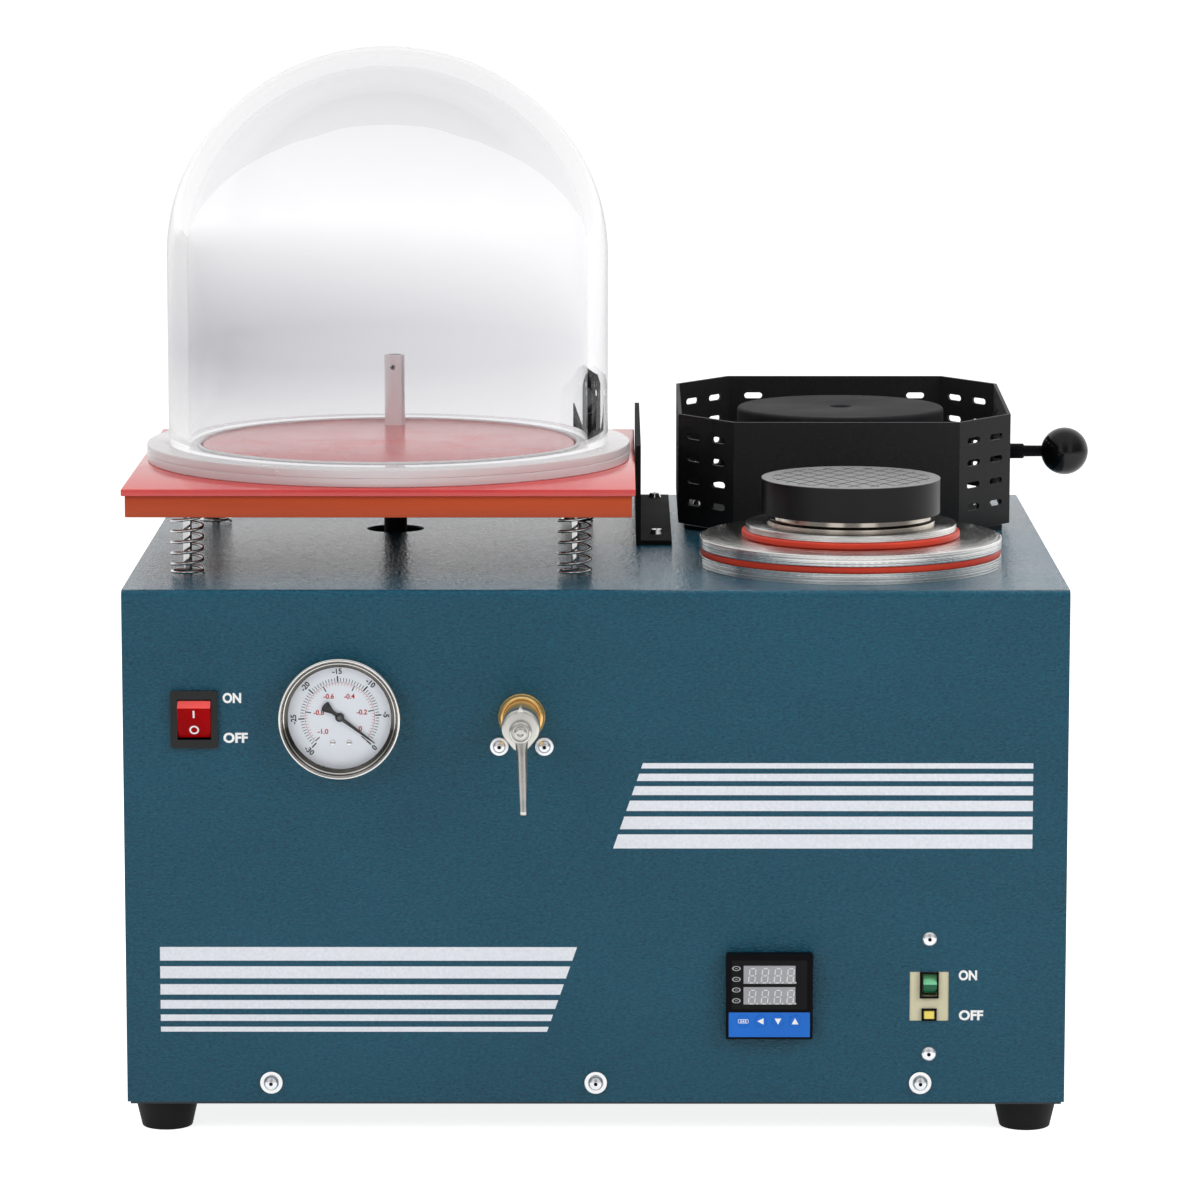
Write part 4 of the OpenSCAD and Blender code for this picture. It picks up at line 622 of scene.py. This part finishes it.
def gauge_face():
    on_dial, print_depth, print_thick = on_front(GAUGE, -1.26), 1.27, 0.02
    bm = bmesh.new()
    gauge_ticks(bm, 45, 7, 19.4, 22.8, 0.75)
    gauge_ticks(bm, 4.5, 61, 19.6, 21.7, 0.36)
    gauge_ticks(bm, 53.4, 6, 15.9, 18.9, 0.6)
    bmesh.ops.transform(bm, matrix=on_dial, verts=bm.verts)
    finished(bm, "dial_scale", "cabinet", dial_black, outward=False)

    bm = bmesh.new()
    gauge_ticks(bm, 5.34, 51, 17.5, 19.1, 0.2)
    sweep = [bm.verts.new((*at_angle(ZERO, radius), 0)) for radius in (18.95, 19.15)]
    bmesh.ops.spin(bm, geom=[*sweep, bm.edges.new(sweep)], cent=(0, 0, 0), axis=(0, 0, 1), dvec=(0, 0, 0),
                   angle=math.radians(267), steps=120, use_merge=False, use_duplicate=False)
    bmesh.ops.transform(bm, matrix=on_dial, verts=bm.verts)
    finished(bm, "dial_scale_inner", "cabinet", dial_red, outward=False)

    outer = []
    for i, text in enumerate(("0", "-5", "-10", "-15", "-20", "-25", "-30")):
        angle = ZERO + 45 * i
        x, z = at_angle(angle, 25.2)
        turn = 90 - angle + (180 if angle > 200 else 0)
        outer.append((text, 4.1, GAUGE[0] + x, GAUGE[1] + z, math.radians(turn), 0.12))
    lettering("dial_numbers", outer, "cabinet", dial_black, print_depth, print_thick)
    inner = [("-0.6", -6.0, 11.3), ("-0.4", 5.3, 11.3), ("-0.2", 12.1, 2.6), ("-0.8", -11.5, 2.3),
             ("-1.0", -9.3, -8.2), ("0", 11.2, -6.6)]
    lettering("dial_numbers_inner", [(text, 3.8, GAUGE[0] + x, GAUGE[1] + z, 0, 0.1) for text, x, z in inner],
              "cabinet", dial_red, print_depth, print_thick)

    screws = [(GAUGE[0] + x, GAUGE[1] - 14.3) for x in (-3.9, 5.1)]
    heads, slots = bmesh.new(), bmesh.new()
    for x, z in screws:
        turned(heads, [(0, 0), (1.6, 0), (1.5, 0.7), (0, 0.8)], on_front((x, z), -1.2), 0.3, 32, False)
        block(slots, (x - 1.3, -2.1, z - 0.25), (x + 1.3, -1.9, z + 0.25))
    finished(heads, "dial_screws", "cabinet", plated_steel)
    finished(slots, "dial_screw_slots", "cabinet", dial_black)

    bm = bmesh.new()
    turned(bm, [(0, 0), (1.35, 0), (1.3, 0.5), (0, 0.6)], on_front(GAUGE, -3.95), 0.2, 32, False)
    finished(bm, "needle_hub", "needle", motor_paint)


def gauge_rim():
    bm = bmesh.new()
    outline = [(30.1, 0), (33.0, 0), (33.0, 1.0), (33.3, 2.0), (33.7, 7.6), (33.7, 9.2), (33.1, 10.0),
               (32.4, 10.0), (32.0, 9.3), (31.5, 8.8), (30.1, 8.0)]
    turned(bm, outline, on_front(GAUGE), 0.45, 144, corner=3)
    finished(bm, "gauge_rim", "cabinet", bezel_steel, ("gauge_bezel",), sharp=40)
    # The inner cone, dark with a painted reflection
    bm = bmesh.new()
    outline = [(31.9, 9.15), (28.6, 6.9), (28.3, 6.0), (29, 6.0), (29, 1.9), (30.0, 1.9), (31.6, 8.2)]
    turned(bm, outline, on_front(GAUGE), 0.2, 144, corner=2)
    finished(bm, "gauge_band", "cabinet", painted_reflection_steel, sharp=40)
    bm = bmesh.new()
    disc(bm, on_front(GAUGE), 28.9, 4.5, 6.0, edge=0.2)
    finished(bm, "gauge_window", "cabinet", gauge_glass, ("gauge_lens",))


gauge_face()
gauge_rim()


# ------------------------------------------------------------------ screws on the front


def socket_screws(name, places, radius, tall, stands_for=(), rim=0.0, washer=5.1):
    """Domed screws with a small socket, each on a washer of its own where rim is given."""
    heads, sockets = bmesh.new(), bmesh.new()
    floor = tall - 0.5
    dome = [(0, 0), (radius, 0), (radius * 0.96, tall * 0.45), (radius * 0.72, tall * 0.85), (1.0, tall),
            (1.0, floor), (0, floor)]
    for place in places:
        turned(heads, dome, on_front(place, -rim), 0.45, 48, False)
        if rim:
            disc(heads, on_front(place), washer, 0, rim, edge=0.35, steps=64)
        disc(sockets, on_front(place, -rim), 0.98, floor, floor + 0.2, edge=0.05, steps=6)
    finished(heads, name, "cabinet", screw_zinc, stands_for)
    finished(sockets, name + "_sockets", "cabinet", black_satin)


socket_screws("breaker_screw_heads", [(BREAKER[0], BREAKER[1] + side * 32.5) for side in (-1, 1)], 4.2, 2.4,
              ("breaker_screws",))
socket_screws("valve_screw_heads", [(VALVE[0] + side * 12.4, VALVE[1] - 16.6) for side in (-1, 1)], 3.6, 2.6,
              ("valve_screws",), 1.2)
socket_screws("cover_screw_heads", [(180 * side, 11) for side in (-1, 0, 1)], 4.4, 4.6)


# ------------------------------------------------------------------ valve


def valve_front():
    bm = bmesh.new()
    outline = [(10.05, 0), (13.0, 0), (13.0, 1.6), (12.3, 2.4), (12.0, 4.4), (11.0, 5.4), (10.05, 5.4)]
    turned(bm, outline, on_front(VALVE), 0.4, 96, corner=3)
    finished(bm, "valve_ring", "cabinet", valve_brass, ("valve_nut",))

    # The cap is a disc drawn down to a point under the lever
    bm = bmesh.new()
    front = 39.0
    outline = [at_angle(-40 + 260 * i / 48, 10.5) for i in range(49)]
    outline += rounded([outline[-1], (-3.4, -12.4), (3.4, -12.4), outline[0]], 1.5, closed=False)[1:-1]
    plate(bm, outline, 30.6, front)
    ease(bm, [line for line in bm.edges if all(abs(v.co.z - front) < 1e-4 for v in line.verts)], 1.8, 3, 0.6)
    plate(bm, [(-2.0, 9.0), (2.0, 9.0), (0, 13.0)], 37.2, front + 0.1, 0.3)
    bmesh.ops.transform(bm, matrix=on_front(VALVE), verts=bm.verts)
    finished(bm, "valve_cap_piece", "lever", lever_nickel, ("valve_cap",), sharp=40)

    # The lever hangs a little to the right, and widens where it meets its hub
    bm = bmesh.new()
    arm = [(-39.4, -3.5), (-42.4, -3.5), (-45.6, -12.5), (-48.6, -38), (-50.0, -44.5), (-49.0, -46), (-47.6, -46),
           (-46.6, -38), (-41.0, -16), (-40.4, -8)]
    profile_bar(bm, rounded(arm, 2.0, steps=3), 4.0, 0.6)
    for vert in bm.verts:
        drop = (-vert.co.z - 4) / 42
        vert.co.x = vert.co.x * (1.08 - 0.25 * drop + 0.75 * max(0.0, (vert.co.z + 10) / 6.5)) + 0.5 + 1.1 * drop
    bmesh.ops.translate(bm, vec=(VALVE[0], 0, VALVE[1]), verts=bm.verts)
    hub = on_front((VALVE[0], VALVE[1] - 1.6))
    turned(bm, [(0, 39), (6.4, 39), (6.1, 43.4), (4.8, 44.2), (4.6, 43.4), (0, 43.4)], hub, 0.4, 64, False)
    turned(bm, [(0, 43), (3.6, 43), (3.5, 45.2), (2.0, 45.8), (1.0, 45.0), (0, 45.0)], hub, 0.3, 48, False)
    finished(bm, "valve_arm", "lever", lever_nickel, ("valve_lever",))


valve_front()


# ------------------------------------------------------------------ controller


def seven_segments(x, z, width, tall, thick):
    """The seven bars of an unlit digit, leaning a little."""
    half = tall / 2
    bars = [box_outline(thick, width - thick, low - thick / 2, low + thick / 2) for low in (0, half, tall)]
    for left in (0, width):
        for low in (0, half):
            bars.append(box_outline(left - thick / 2, left + thick / 2, low + thick * 0.7,
                                    low + half - thick * 0.7))
    lean = 0.1
    return [[(x + px + pz * lean, z + pz) for px, pz in bar] for bar in bars]


def controller_front():
    cx, cz = CONTROLLER
    # Each row: the foot and the height of its digits, and the lower and the upper edge of its window
    rows = ((68.9, 8.0, 68.4, 78.5), (57.1, 7.6, 56.7, 66.5))
    digits = []
    for foot, tall, low, high in rows:
        for i in range(4):
            shift = i * 7.05
            digits += seven_segments(cx - 11.6 + shift, foot, 3.4, tall, 0.62)
            digits.append(box_outline(cx - 7.2 + shift, cx - 6.4 + shift, foot - 0.3, foot + 0.5))
    raised(digits, "display_digits", "cabinet", digit_pale, 6.08, 6.12)
    raised([box_outline(cx - 14.3, cx + 14.3, low, high) for foot, tall, low, high in rows],
           "display_windows", "cabinet", display_grey, 5.9, 6.06)
    oval = Matrix.Diagonal((1.0, 1.0, 0.58, 1.0))
    x, near, far = 77.7, 5.9, 6.1
    bm = bmesh.new()
    for z in (77.0, 70.9, 64.9, 58.8):
        turned(bm, box_outline(1.65, 2.4, near, far), Matrix.Translation((x, 0, z)) @ oval @ TO_FRONT, steps=40)
        block(bm, (x - 0.7, -far, z - 0.16), (x + 0.7, -near, z + 0.16))
    finished(bm, "indicator_rings", "cabinet", display_grey)
    marks = {
        "key_set": [box_outline(-2.6, 2.6, -1.1, -0.8), box_outline(-2.6, 2.6, 0.8, 1.1),
                    box_outline(-1.6, -0.9, -0.5, 0.5), box_outline(-0.3, 0.3, -0.5, 0.5),
                    box_outline(0.9, 1.6, -0.5, 0.5), box_outline(-2.9, -2.6, -0.8, 0.8),
                    box_outline(2.6, 2.9, -0.8, 0.8)],
        "key_left": [[(-1.9, 0), (1.6, -1.8), (1.6, 1.8)]],
        "key_down": [[(0, -1.8), (1.9, 1.6), (-1.9, 1.6)]],
        "key_up": [[(-1.9, -1.7), (1.9, -1.7), (0, 1.8)]],
    }
    for (key, shapes), x in zip(marks.items(), (-14.4, -4.8, 4.8, 14.2)):
        moved = [[(cx + x + px, cz - 13.8 + pz) for px, pz in shape] for shape in shapes]
        raised(moved, key + "_mark", key, mark_white, 6.14, 6.2)


controller_front()


# ------------------------------------------------------------------ breaker


def breaker_front():
    """The toggle, with a ridge across its middle."""
    bm = bmesh.new()
    outline = [(-1.6, 5.8), TOGGLE_RIDGE, (-5.6, -4.4), (-1, -3.6), (-1, 5)]
    profile_bar(bm, rounded(outline, 0.4, steps=3), 7.4, 0.25)
    bmesh.ops.transform(bm, matrix=Matrix.Translation((TOGGLE[0], 6, TOGGLE[1])), verts=bm.verts)
    finished(bm, "toggle", "breaker_toggle", green_key, ("breaker_rocker",))


breaker_front()


# ------------------------------------------------------------------ table


def coil(bm, centre, radius, wire, low, high, turns):
    """A compression spring: two closed end turns and open turns between them, spun from a ring of wire."""
    ring = bmesh.ops.create_circle(bm, cap_ends=True, segments=10, radius=wire / 2)["verts"]
    bmesh.ops.rotate(bm, cent=(0, 0, 0), matrix=Matrix.Rotation(math.radians(90), 3, "X"), verts=ring)
    bmesh.ops.translate(bm, vec=(centre[0] + radius, centre[1], low + wire / 2), verts=ring)
    caps = list({f for v in ring for f in v.link_faces})
    closed_rise = wire + 0.15
    open_rise = (high - low - wire - 2 * closed_rise) / turns
    steps = 28
    geom = ring + list({e for f in caps for e in f.edges}) + caps
    for count, rise in ((1, closed_rise), (turns, open_rise), (1, closed_rise)):
        made = bmesh.ops.spin(bm, geom=geom, cent=(centre[0], centre[1], 0), axis=(0, 0, 1),
                              dvec=(0, 0, rise / steps), angle=math.tau * count, steps=int(steps * count),
                              use_merge=False, use_duplicate=False)
        geom = made["geom_last"]


def table_springs():
    bm = bmesh.new()
    for i in (-1, 1):
        for j in (-1, 1):
            coil(bm, (TABLE[0] + 108 * i, TABLE[1] + 108 * j), 8.85, 1.7, TOP + 0.1, UNDER_TABLE, 5)
    springs = finished(bm, "springs", "cabinet", spring_steel, ("table_springs",), sharp=50)
    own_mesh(springs)


def table_top():
    x, y = TABLE
    bm = bmesh.new()
    block(bm, (x - 140, y - 140, TOP + 36.3), (x + 140, y + 140, PAD), 0.6)
    finished(bm, "table_board", "table", laminate, ("table_plate",))
    bm = bmesh.new()
    block(bm, (x - 142, y - 142, PAD), (x + 142, y + 142, JAR), 0.7)
    disc(bm, on_top(JAR_CENTRE), 107.5, JAR - 0.5, JAR + 10, edge=1.6)
    finished(bm, "table_mat", "table", red_mat, ("table_pad",))


def table_hose():
    foot = 250
    bm = bmesh.new()
    disc(bm, on_top(PIPE), 6.75, foot, UNDER_TABLE, 4.2, 0.6, 48)
    hose = finished(bm, "straight_hose", "cabinet", black_rubber, ("table_hose",))
    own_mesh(hose)


def bell_jar():
    place = on_top(JAR_CENTRE, JAR)
    bm = bmesh.new()
    foot = [(108.5, 0), (139, 0), (139, 4.8), (138.6, 5.0), (139, 5.2), (139, 10), (108.5, 10)]
    turned(bm, foot, place, 0.9, 192, corner=3)
    finished(bm, "jar_foot", "jar", acrylic_edge, ("jar_ring",), sharp=50)

    # A painted highlight: a white ring along the edge of the red mat, not quite round
    bm = bmesh.new()
    turned(bm, box_outline(108.6, 110.6, 9.6, 10.9), place, 0.6, 160, corner=2)
    for vert in bm.verts:
        angle = math.atan2(vert.co.y - JAR_CENTRE[1], vert.co.x - JAR_CENTRE[0])
        grow = 1 + 0.0022 * math.sin(9 * angle) + 0.0016 * math.sin(23 * angle + 1)
        vert.co.x = JAR_CENTRE[0] + (vert.co.x - JAR_CENTRE[0]) * grow
        vert.co.y = JAR_CENTRE[1] + (vert.co.y - JAR_CENTRE[1]) * grow
    finished(bm, "jar_painted_highlight", "jar", mark_white)

    # A shoulder and a crown, drawn up the outside and then down the inside
    outline = [(115.0, 10.02), (126.5, 10.02)]
    for inset, order in ((0, 1), (11.5, -1)):
        shoulder = [at_angle(41.7 * i / 14, 112 - inset) for i in range(15)]
        crown = [at_angle(41.7 + 48.3 * i / 26, 131.42 - inset) for i in range(1, 27)]
        arc = [(14.5 + x, 118 + z) for x, z in shoulder] + [(x, 105.08 + z) for x, z in crown]
        outline += arc[::order]
    bm = bmesh.new()
    turned(bm, outline, place, steps=192)
    finished(bm, "jar_bell", "jar", acrylic, ("jar_dome",), sharp=50)


table_springs()
table_top()
table_hose()
bell_jar()


# ------------------------------------------------------------------ chamber


def chamber_stack():
    """Gasket, adapter plate, its seal and the plug, one on the other."""
    gasket, adapter = TOP + 6, TOP + 9.6
    seal, plug = adapter + 6.4, adapter + 9.9
    neck = plug + 4
    place = on_top(CHAMBER)
    bm = bmesh.new()
    disc(bm, place, 85.0, gasket, adapter, 69.5, 1.1)
    finished(bm, "chamber_seal", "cabinet", seal_red, ("chamber_gasket",))
    bm = bmesh.new()
    disc(bm, place, 85.5, adapter, seal, 50.0, 0.8)
    disc(bm, place, 67.0, adapter - 8, adapter, 50.0, 0.6)
    finished(bm, "adapter", "adapter", turned_steel, ("adapter_plate",))
    bm = bmesh.new()
    disc(bm, place, 61.8, seal, plug, 52.0, 1.3)
    finished(bm, "adapter_ring", "adapter", seal_red, ("adapter_seal",))
    bm = bmesh.new()
    disc(bm, place, 59.75, plug, neck, edge=0.6)
    disc(bm, place, 49.5, plug - 8.5, plug + 1, edge=0.6)
    finished(bm, "plug", "plug", turned_steel, ("plug_plate",))
    bm = bmesh.new()
    outline = [(0, neck - 0.5), (47.6, neck - 0.5), (48.0, neck + 1.6), (45.6, neck + 2.6), (45.4, neck + 6),
               (0, neck + 6)]
    turned(bm, outline, place, 0.7, 128, False)
    finished(bm, "plug_neck", "plug", polished_steel)


chamber_stack()


# ------------------------------------------------------------------ furnace


def furnace_top():
    low = TOP + 53
    bm = bmesh.new()
    turned(bm, box_outline(5.5, 62, low, low + 14), on_top(FURNACE), 2.6, 144, corner=5)
    finished(bm, "furnace_cover", "lid", lid_enamel, ("furnace_lid",))


def guard_grip():
    """The rod and the ball of the guard, which leans forward with it about its rear hinges."""
    lean = math.radians(2.3)
    hinge = Vector((FURNACE[0], FURNACE[1] + 97, TOP + 3.1 + 189 * math.sin(lean)))
    place = (Matrix.Translation(hinge) @ Matrix.Rotation(lean, 4, "X")
             @ Matrix.Translation((98, -97, 33.2)) @ Matrix.Rotation(math.radians(90), 4, "Y"))
    bm = bmesh.new()
    turned(bm, [(0, 0), (4.5, 0), (4.5, 12.2), (3.4, 12.8), (3.25, 36), (0, 36)], place, 0.5, closed=False)
    turned(bm, [(0, -6), (2.5, -6), (2.5, -5), (4.5, -5), (4.5, -2), (0, -2)], place, closed=False)
    finished(bm, "grip_rod", "guard", black_satin, ("guard_handle",))
    bm = bmesh.new()
    ball = bmesh.ops.create_uvsphere(bm, u_segments=64, v_segments=32, radius=14.2)["verts"]
    bmesh.ops.translate(bm, vec=(0, 0, 37), verts=ball)
    bmesh.ops.transform(bm, matrix=place, verts=ball)
    finished(bm, "grip_ball", "guard", black_gloss, ("guard_ball",), sharp=60)


furnace_top()
guard_grip()


# ------------------------------------------------------------------ hoses inside


def hose_run(bm, points, outer, steps=5):
    """A rubber hose: a ring of points extruded from place to place along a smooth line."""
    path = [Vector(p) for p in points]
    fine = []
    for i in range(len(path) - 1):
        before, here = path[max(i - 1, 0)], path[i]
        after, beyond = path[i + 1], path[min(i + 2, len(path) - 1)]
        for k in range(steps):
            t = k / steps
            fine.append(0.5 * (2 * here + (after - before) * t
                               + (2 * before - 5 * here + 4 * after - beyond) * t ** 2
                               + (3 * here - before - 3 * after + beyond) * t ** 3))
    fine.append(path[-1])
    ring = bmesh.ops.create_circle(bm, cap_ends=True, segments=20, radius=outer / 2)["verts"]
    heading = Vector((0, 0, 1))
    spot = Vector((0, 0, 0))
    for i, place in enumerate(fine):
        ahead = (fine[min(i + 1, len(fine) - 1)] - fine[max(i - 1, 0)]).normalized()
        if i:
            face = next(f for f in ring[0].link_faces if all(v in ring for v in f.verts))
            made = bmesh.ops.extrude_face_region(bm, geom=[face])["geom"]
            bmesh.ops.delete(bm, geom=[face], context="FACES_ONLY")
            ring = [item for item in made if isinstance(item, bmesh.types.BMVert)]
        bmesh.ops.rotate(bm, cent=spot, matrix=heading.rotation_difference(ahead).to_matrix(), verts=ring)
        bmesh.ops.translate(bm, vec=place - spot, verts=ring)
        heading, spot = ahead, place


def inner_hoses():
    vx, vz = VALVE
    bm = bmesh.new()
    for points in (
            # Table to valve
            [(vx - 30, 26, vz), (-81, 26, 217), (-93, 34, 216), (-99, 52, 214), (-101, 90, 212), (-104, 135, 211),
             (-109, 180, 211), (-115, 218, 214), (-119.5, 243, 224), (-119.5, 251, 239), (-119.5, 251, 250)],
            # Chamber to valve
            [(vx + 30, 26, vz), (0, 26, 217), (15, 30, 212), (27, 42, 198), (32, 60, 178), (32, 82, 158),
             (36, 99, 145), (47, 107, 141), (58, 107, 141)],
            # Pump to valve
            [(vx, 62, vz), (vx, 73, vz), (-46, 92, 222), (-62, 112, 232), (-85, 130, 238), (-108, 143, 236),
             (-128, 149, 224), (-137.5, 150, 208), (-140, 150, 197), (-140, 150, 185)],
            # Gauge to valve
            [(vx, 26, vz - 30), (vx, 26, vz - 41), (-44, 30, 162), (-56, 42, 154), (-74, 58, 156),
             (-92, 74, 168), (-110, 85, 186), (-126, 86, 204), (-136.5, 76, 214), (-140.5, 59, 217),
             (-140.5, 46, 217)]):
        hose_run(bm, points, 13.5)
    finished(bm, "inner_hose_runs", "cabinet", black_rubber, ("vacuum_hoses",))


inner_hoses()


# ------------------------------------------------------------------ studio

# The room's light on every surface, besides what its reflections and the lamps add
AMBIENT = 0.30


def either(tree, switch, off, on):
    node = tree.nodes.new("ShaderNodeMix")
    for label, value in (("Factor", switch), ("A", off), ("B", on)):
        feed(tree, node.inputs[label], value)
    return node.outputs[0]


def room_light():
    """White behind for the camera and through glass; reflections find a white rear wall, a pale ceiling and two
    pale screens in a dim front; everything else gets plain soft light."""
    world = bpy.data.worlds.new("studio")
    scene.world = world
    world.use_nodes = True
    tree = world.node_tree
    x, y, z = axes(tree, coordinates(tree, "Generated"))
    rear = math_node(tree, "MULTIPLY", spread(tree, y, -0.1, 0.5), 1.2)
    ceiling = math_node(tree, "MULTIPLY", spread(tree, z, 0.35, 0.85), 0.75)
    aside = math_node(tree, "ABSOLUTE", x)
    screens = math_node(tree, "MULTIPLY", spread(tree, aside, 0.16, 0.26), spread(tree, aside, 0.62, 0.5))
    screens = math_node(tree, "MULTIPLY", screens, 0.8)
    level = math_node(tree, "MAXIMUM", math_node(tree, "MAXIMUM", rear, ceiling), screens)
    level = math_node(tree, "ADD", math_node(tree, "MULTIPLY", level, 0.76), 0.24)
    path = tree.nodes.new("ShaderNodeLightPath").outputs
    seen = math_node(tree, "MAXIMUM", path["Is Camera Ray"], path["Is Transmission Ray"])
    strength = either(tree, seen, either(tree, path["Is Glossy Ray"], AMBIENT, level), 1.0)
    tree.links.new(strength, tree.nodes["Background"].inputs["Strength"])
    tree.nodes["Background"].inputs["Color"].default_value = (1, 1, 1, 1)


def white_floor():
    """A wide pale floor, lifted to white, which keeps the object's shadow."""
    bm = bmesh.new()
    bmesh.ops.create_grid(bm, x_segments=1, y_segments=1, size=40.0)
    mesh = bpy.data.meshes.new("floor")
    bm.to_mesh(mesh)
    bm.free()
    floor = bpy.data.objects.new("floor", mesh)
    scene.collection.objects.link(floor)
    pale, tree, shader = surface("floor_pale")
    shader.inputs["Base Color"].default_value = (0.86, 0.86, 0.86, 1)
    shader.inputs["Roughness"].default_value = 0.9
    shader.inputs["Specular IOR Level"].default_value = 0.1
    shader.inputs["Emission Color"].default_value = (1, 1, 1, 1)
    path = tree.nodes.new("ShaderNodeLightPath").outputs
    x, y, z = axes(tree, coordinates(tree))
    far = spread(tree, math_node(tree, "ADD", y, math_node(tree, "MULTIPLY", x, 1.5)), 0.3, 6.0)
    through = math_node(tree, "ADD", math_node(tree, "MULTIPLY", far, 0.46), 0.36)
    direct = math_node(tree, "MULTIPLY", path["Is Camera Ray"], 0.84)
    mirrored = math_node(tree, "MULTIPLY", path["Is Glossy Ray"], 0.55)
    lift = math_node(tree, "MAXIMUM", either(tree, path["Is Transmission Ray"], direct, through), mirrored)
    tree.links.new(lift, shader.inputs["Emission Strength"])
    mesh.materials.append(pale)


def studio():
    room_light()
    white_floor()
    for name, spot, aim, size, watts in (
            ("left_box", (-1.5, -1.5, 1.5), (0, 0, 0.25), (1.0, 1.6), 18),
            ("right_box", (1.9, -1.2, 1.4), (0, 0, 0.25), (0.9, 1.5), 28),
            ("overhead", (0.0, 0.3, 2.2), (0, 0, 0.3), (2.0, 1.4), 19)):
        lamp = bpy.data.lights.new(name, "AREA")
        lamp.shape = "RECTANGLE"
        lamp.size, lamp.size_y = size
        lamp.energy = watts
        holder = bpy.data.objects.new(name, lamp)
        holder.location = spot
        holder.rotation_euler = (Vector(aim) - Vector(spot)).to_track_quat("-Z", "Y").to_euler()
        holder.visible_glossy = False
        holder.visible_transmission = False
        scene.collection.objects.link(holder)

    # The camera was solved from the cabinet's edges in the photograph
    lens = bpy.data.cameras.new("camera")
    lens.sensor_width = 36.0
    lens.lens = 162.16
    lens.clip_start = 0.05
    camera = bpy.data.objects.new("camera", lens)
    camera.location = TO_ROW @ Vector((9.83, -2926.84, 721.99))
    camera.rotation_euler = (math.radians(90 - 8.553), 0, math.radians(0.146))
    scene.collection.objects.link(camera)
    scene.camera = camera
    scene.view_settings.view_transform = "Standard"


studio()
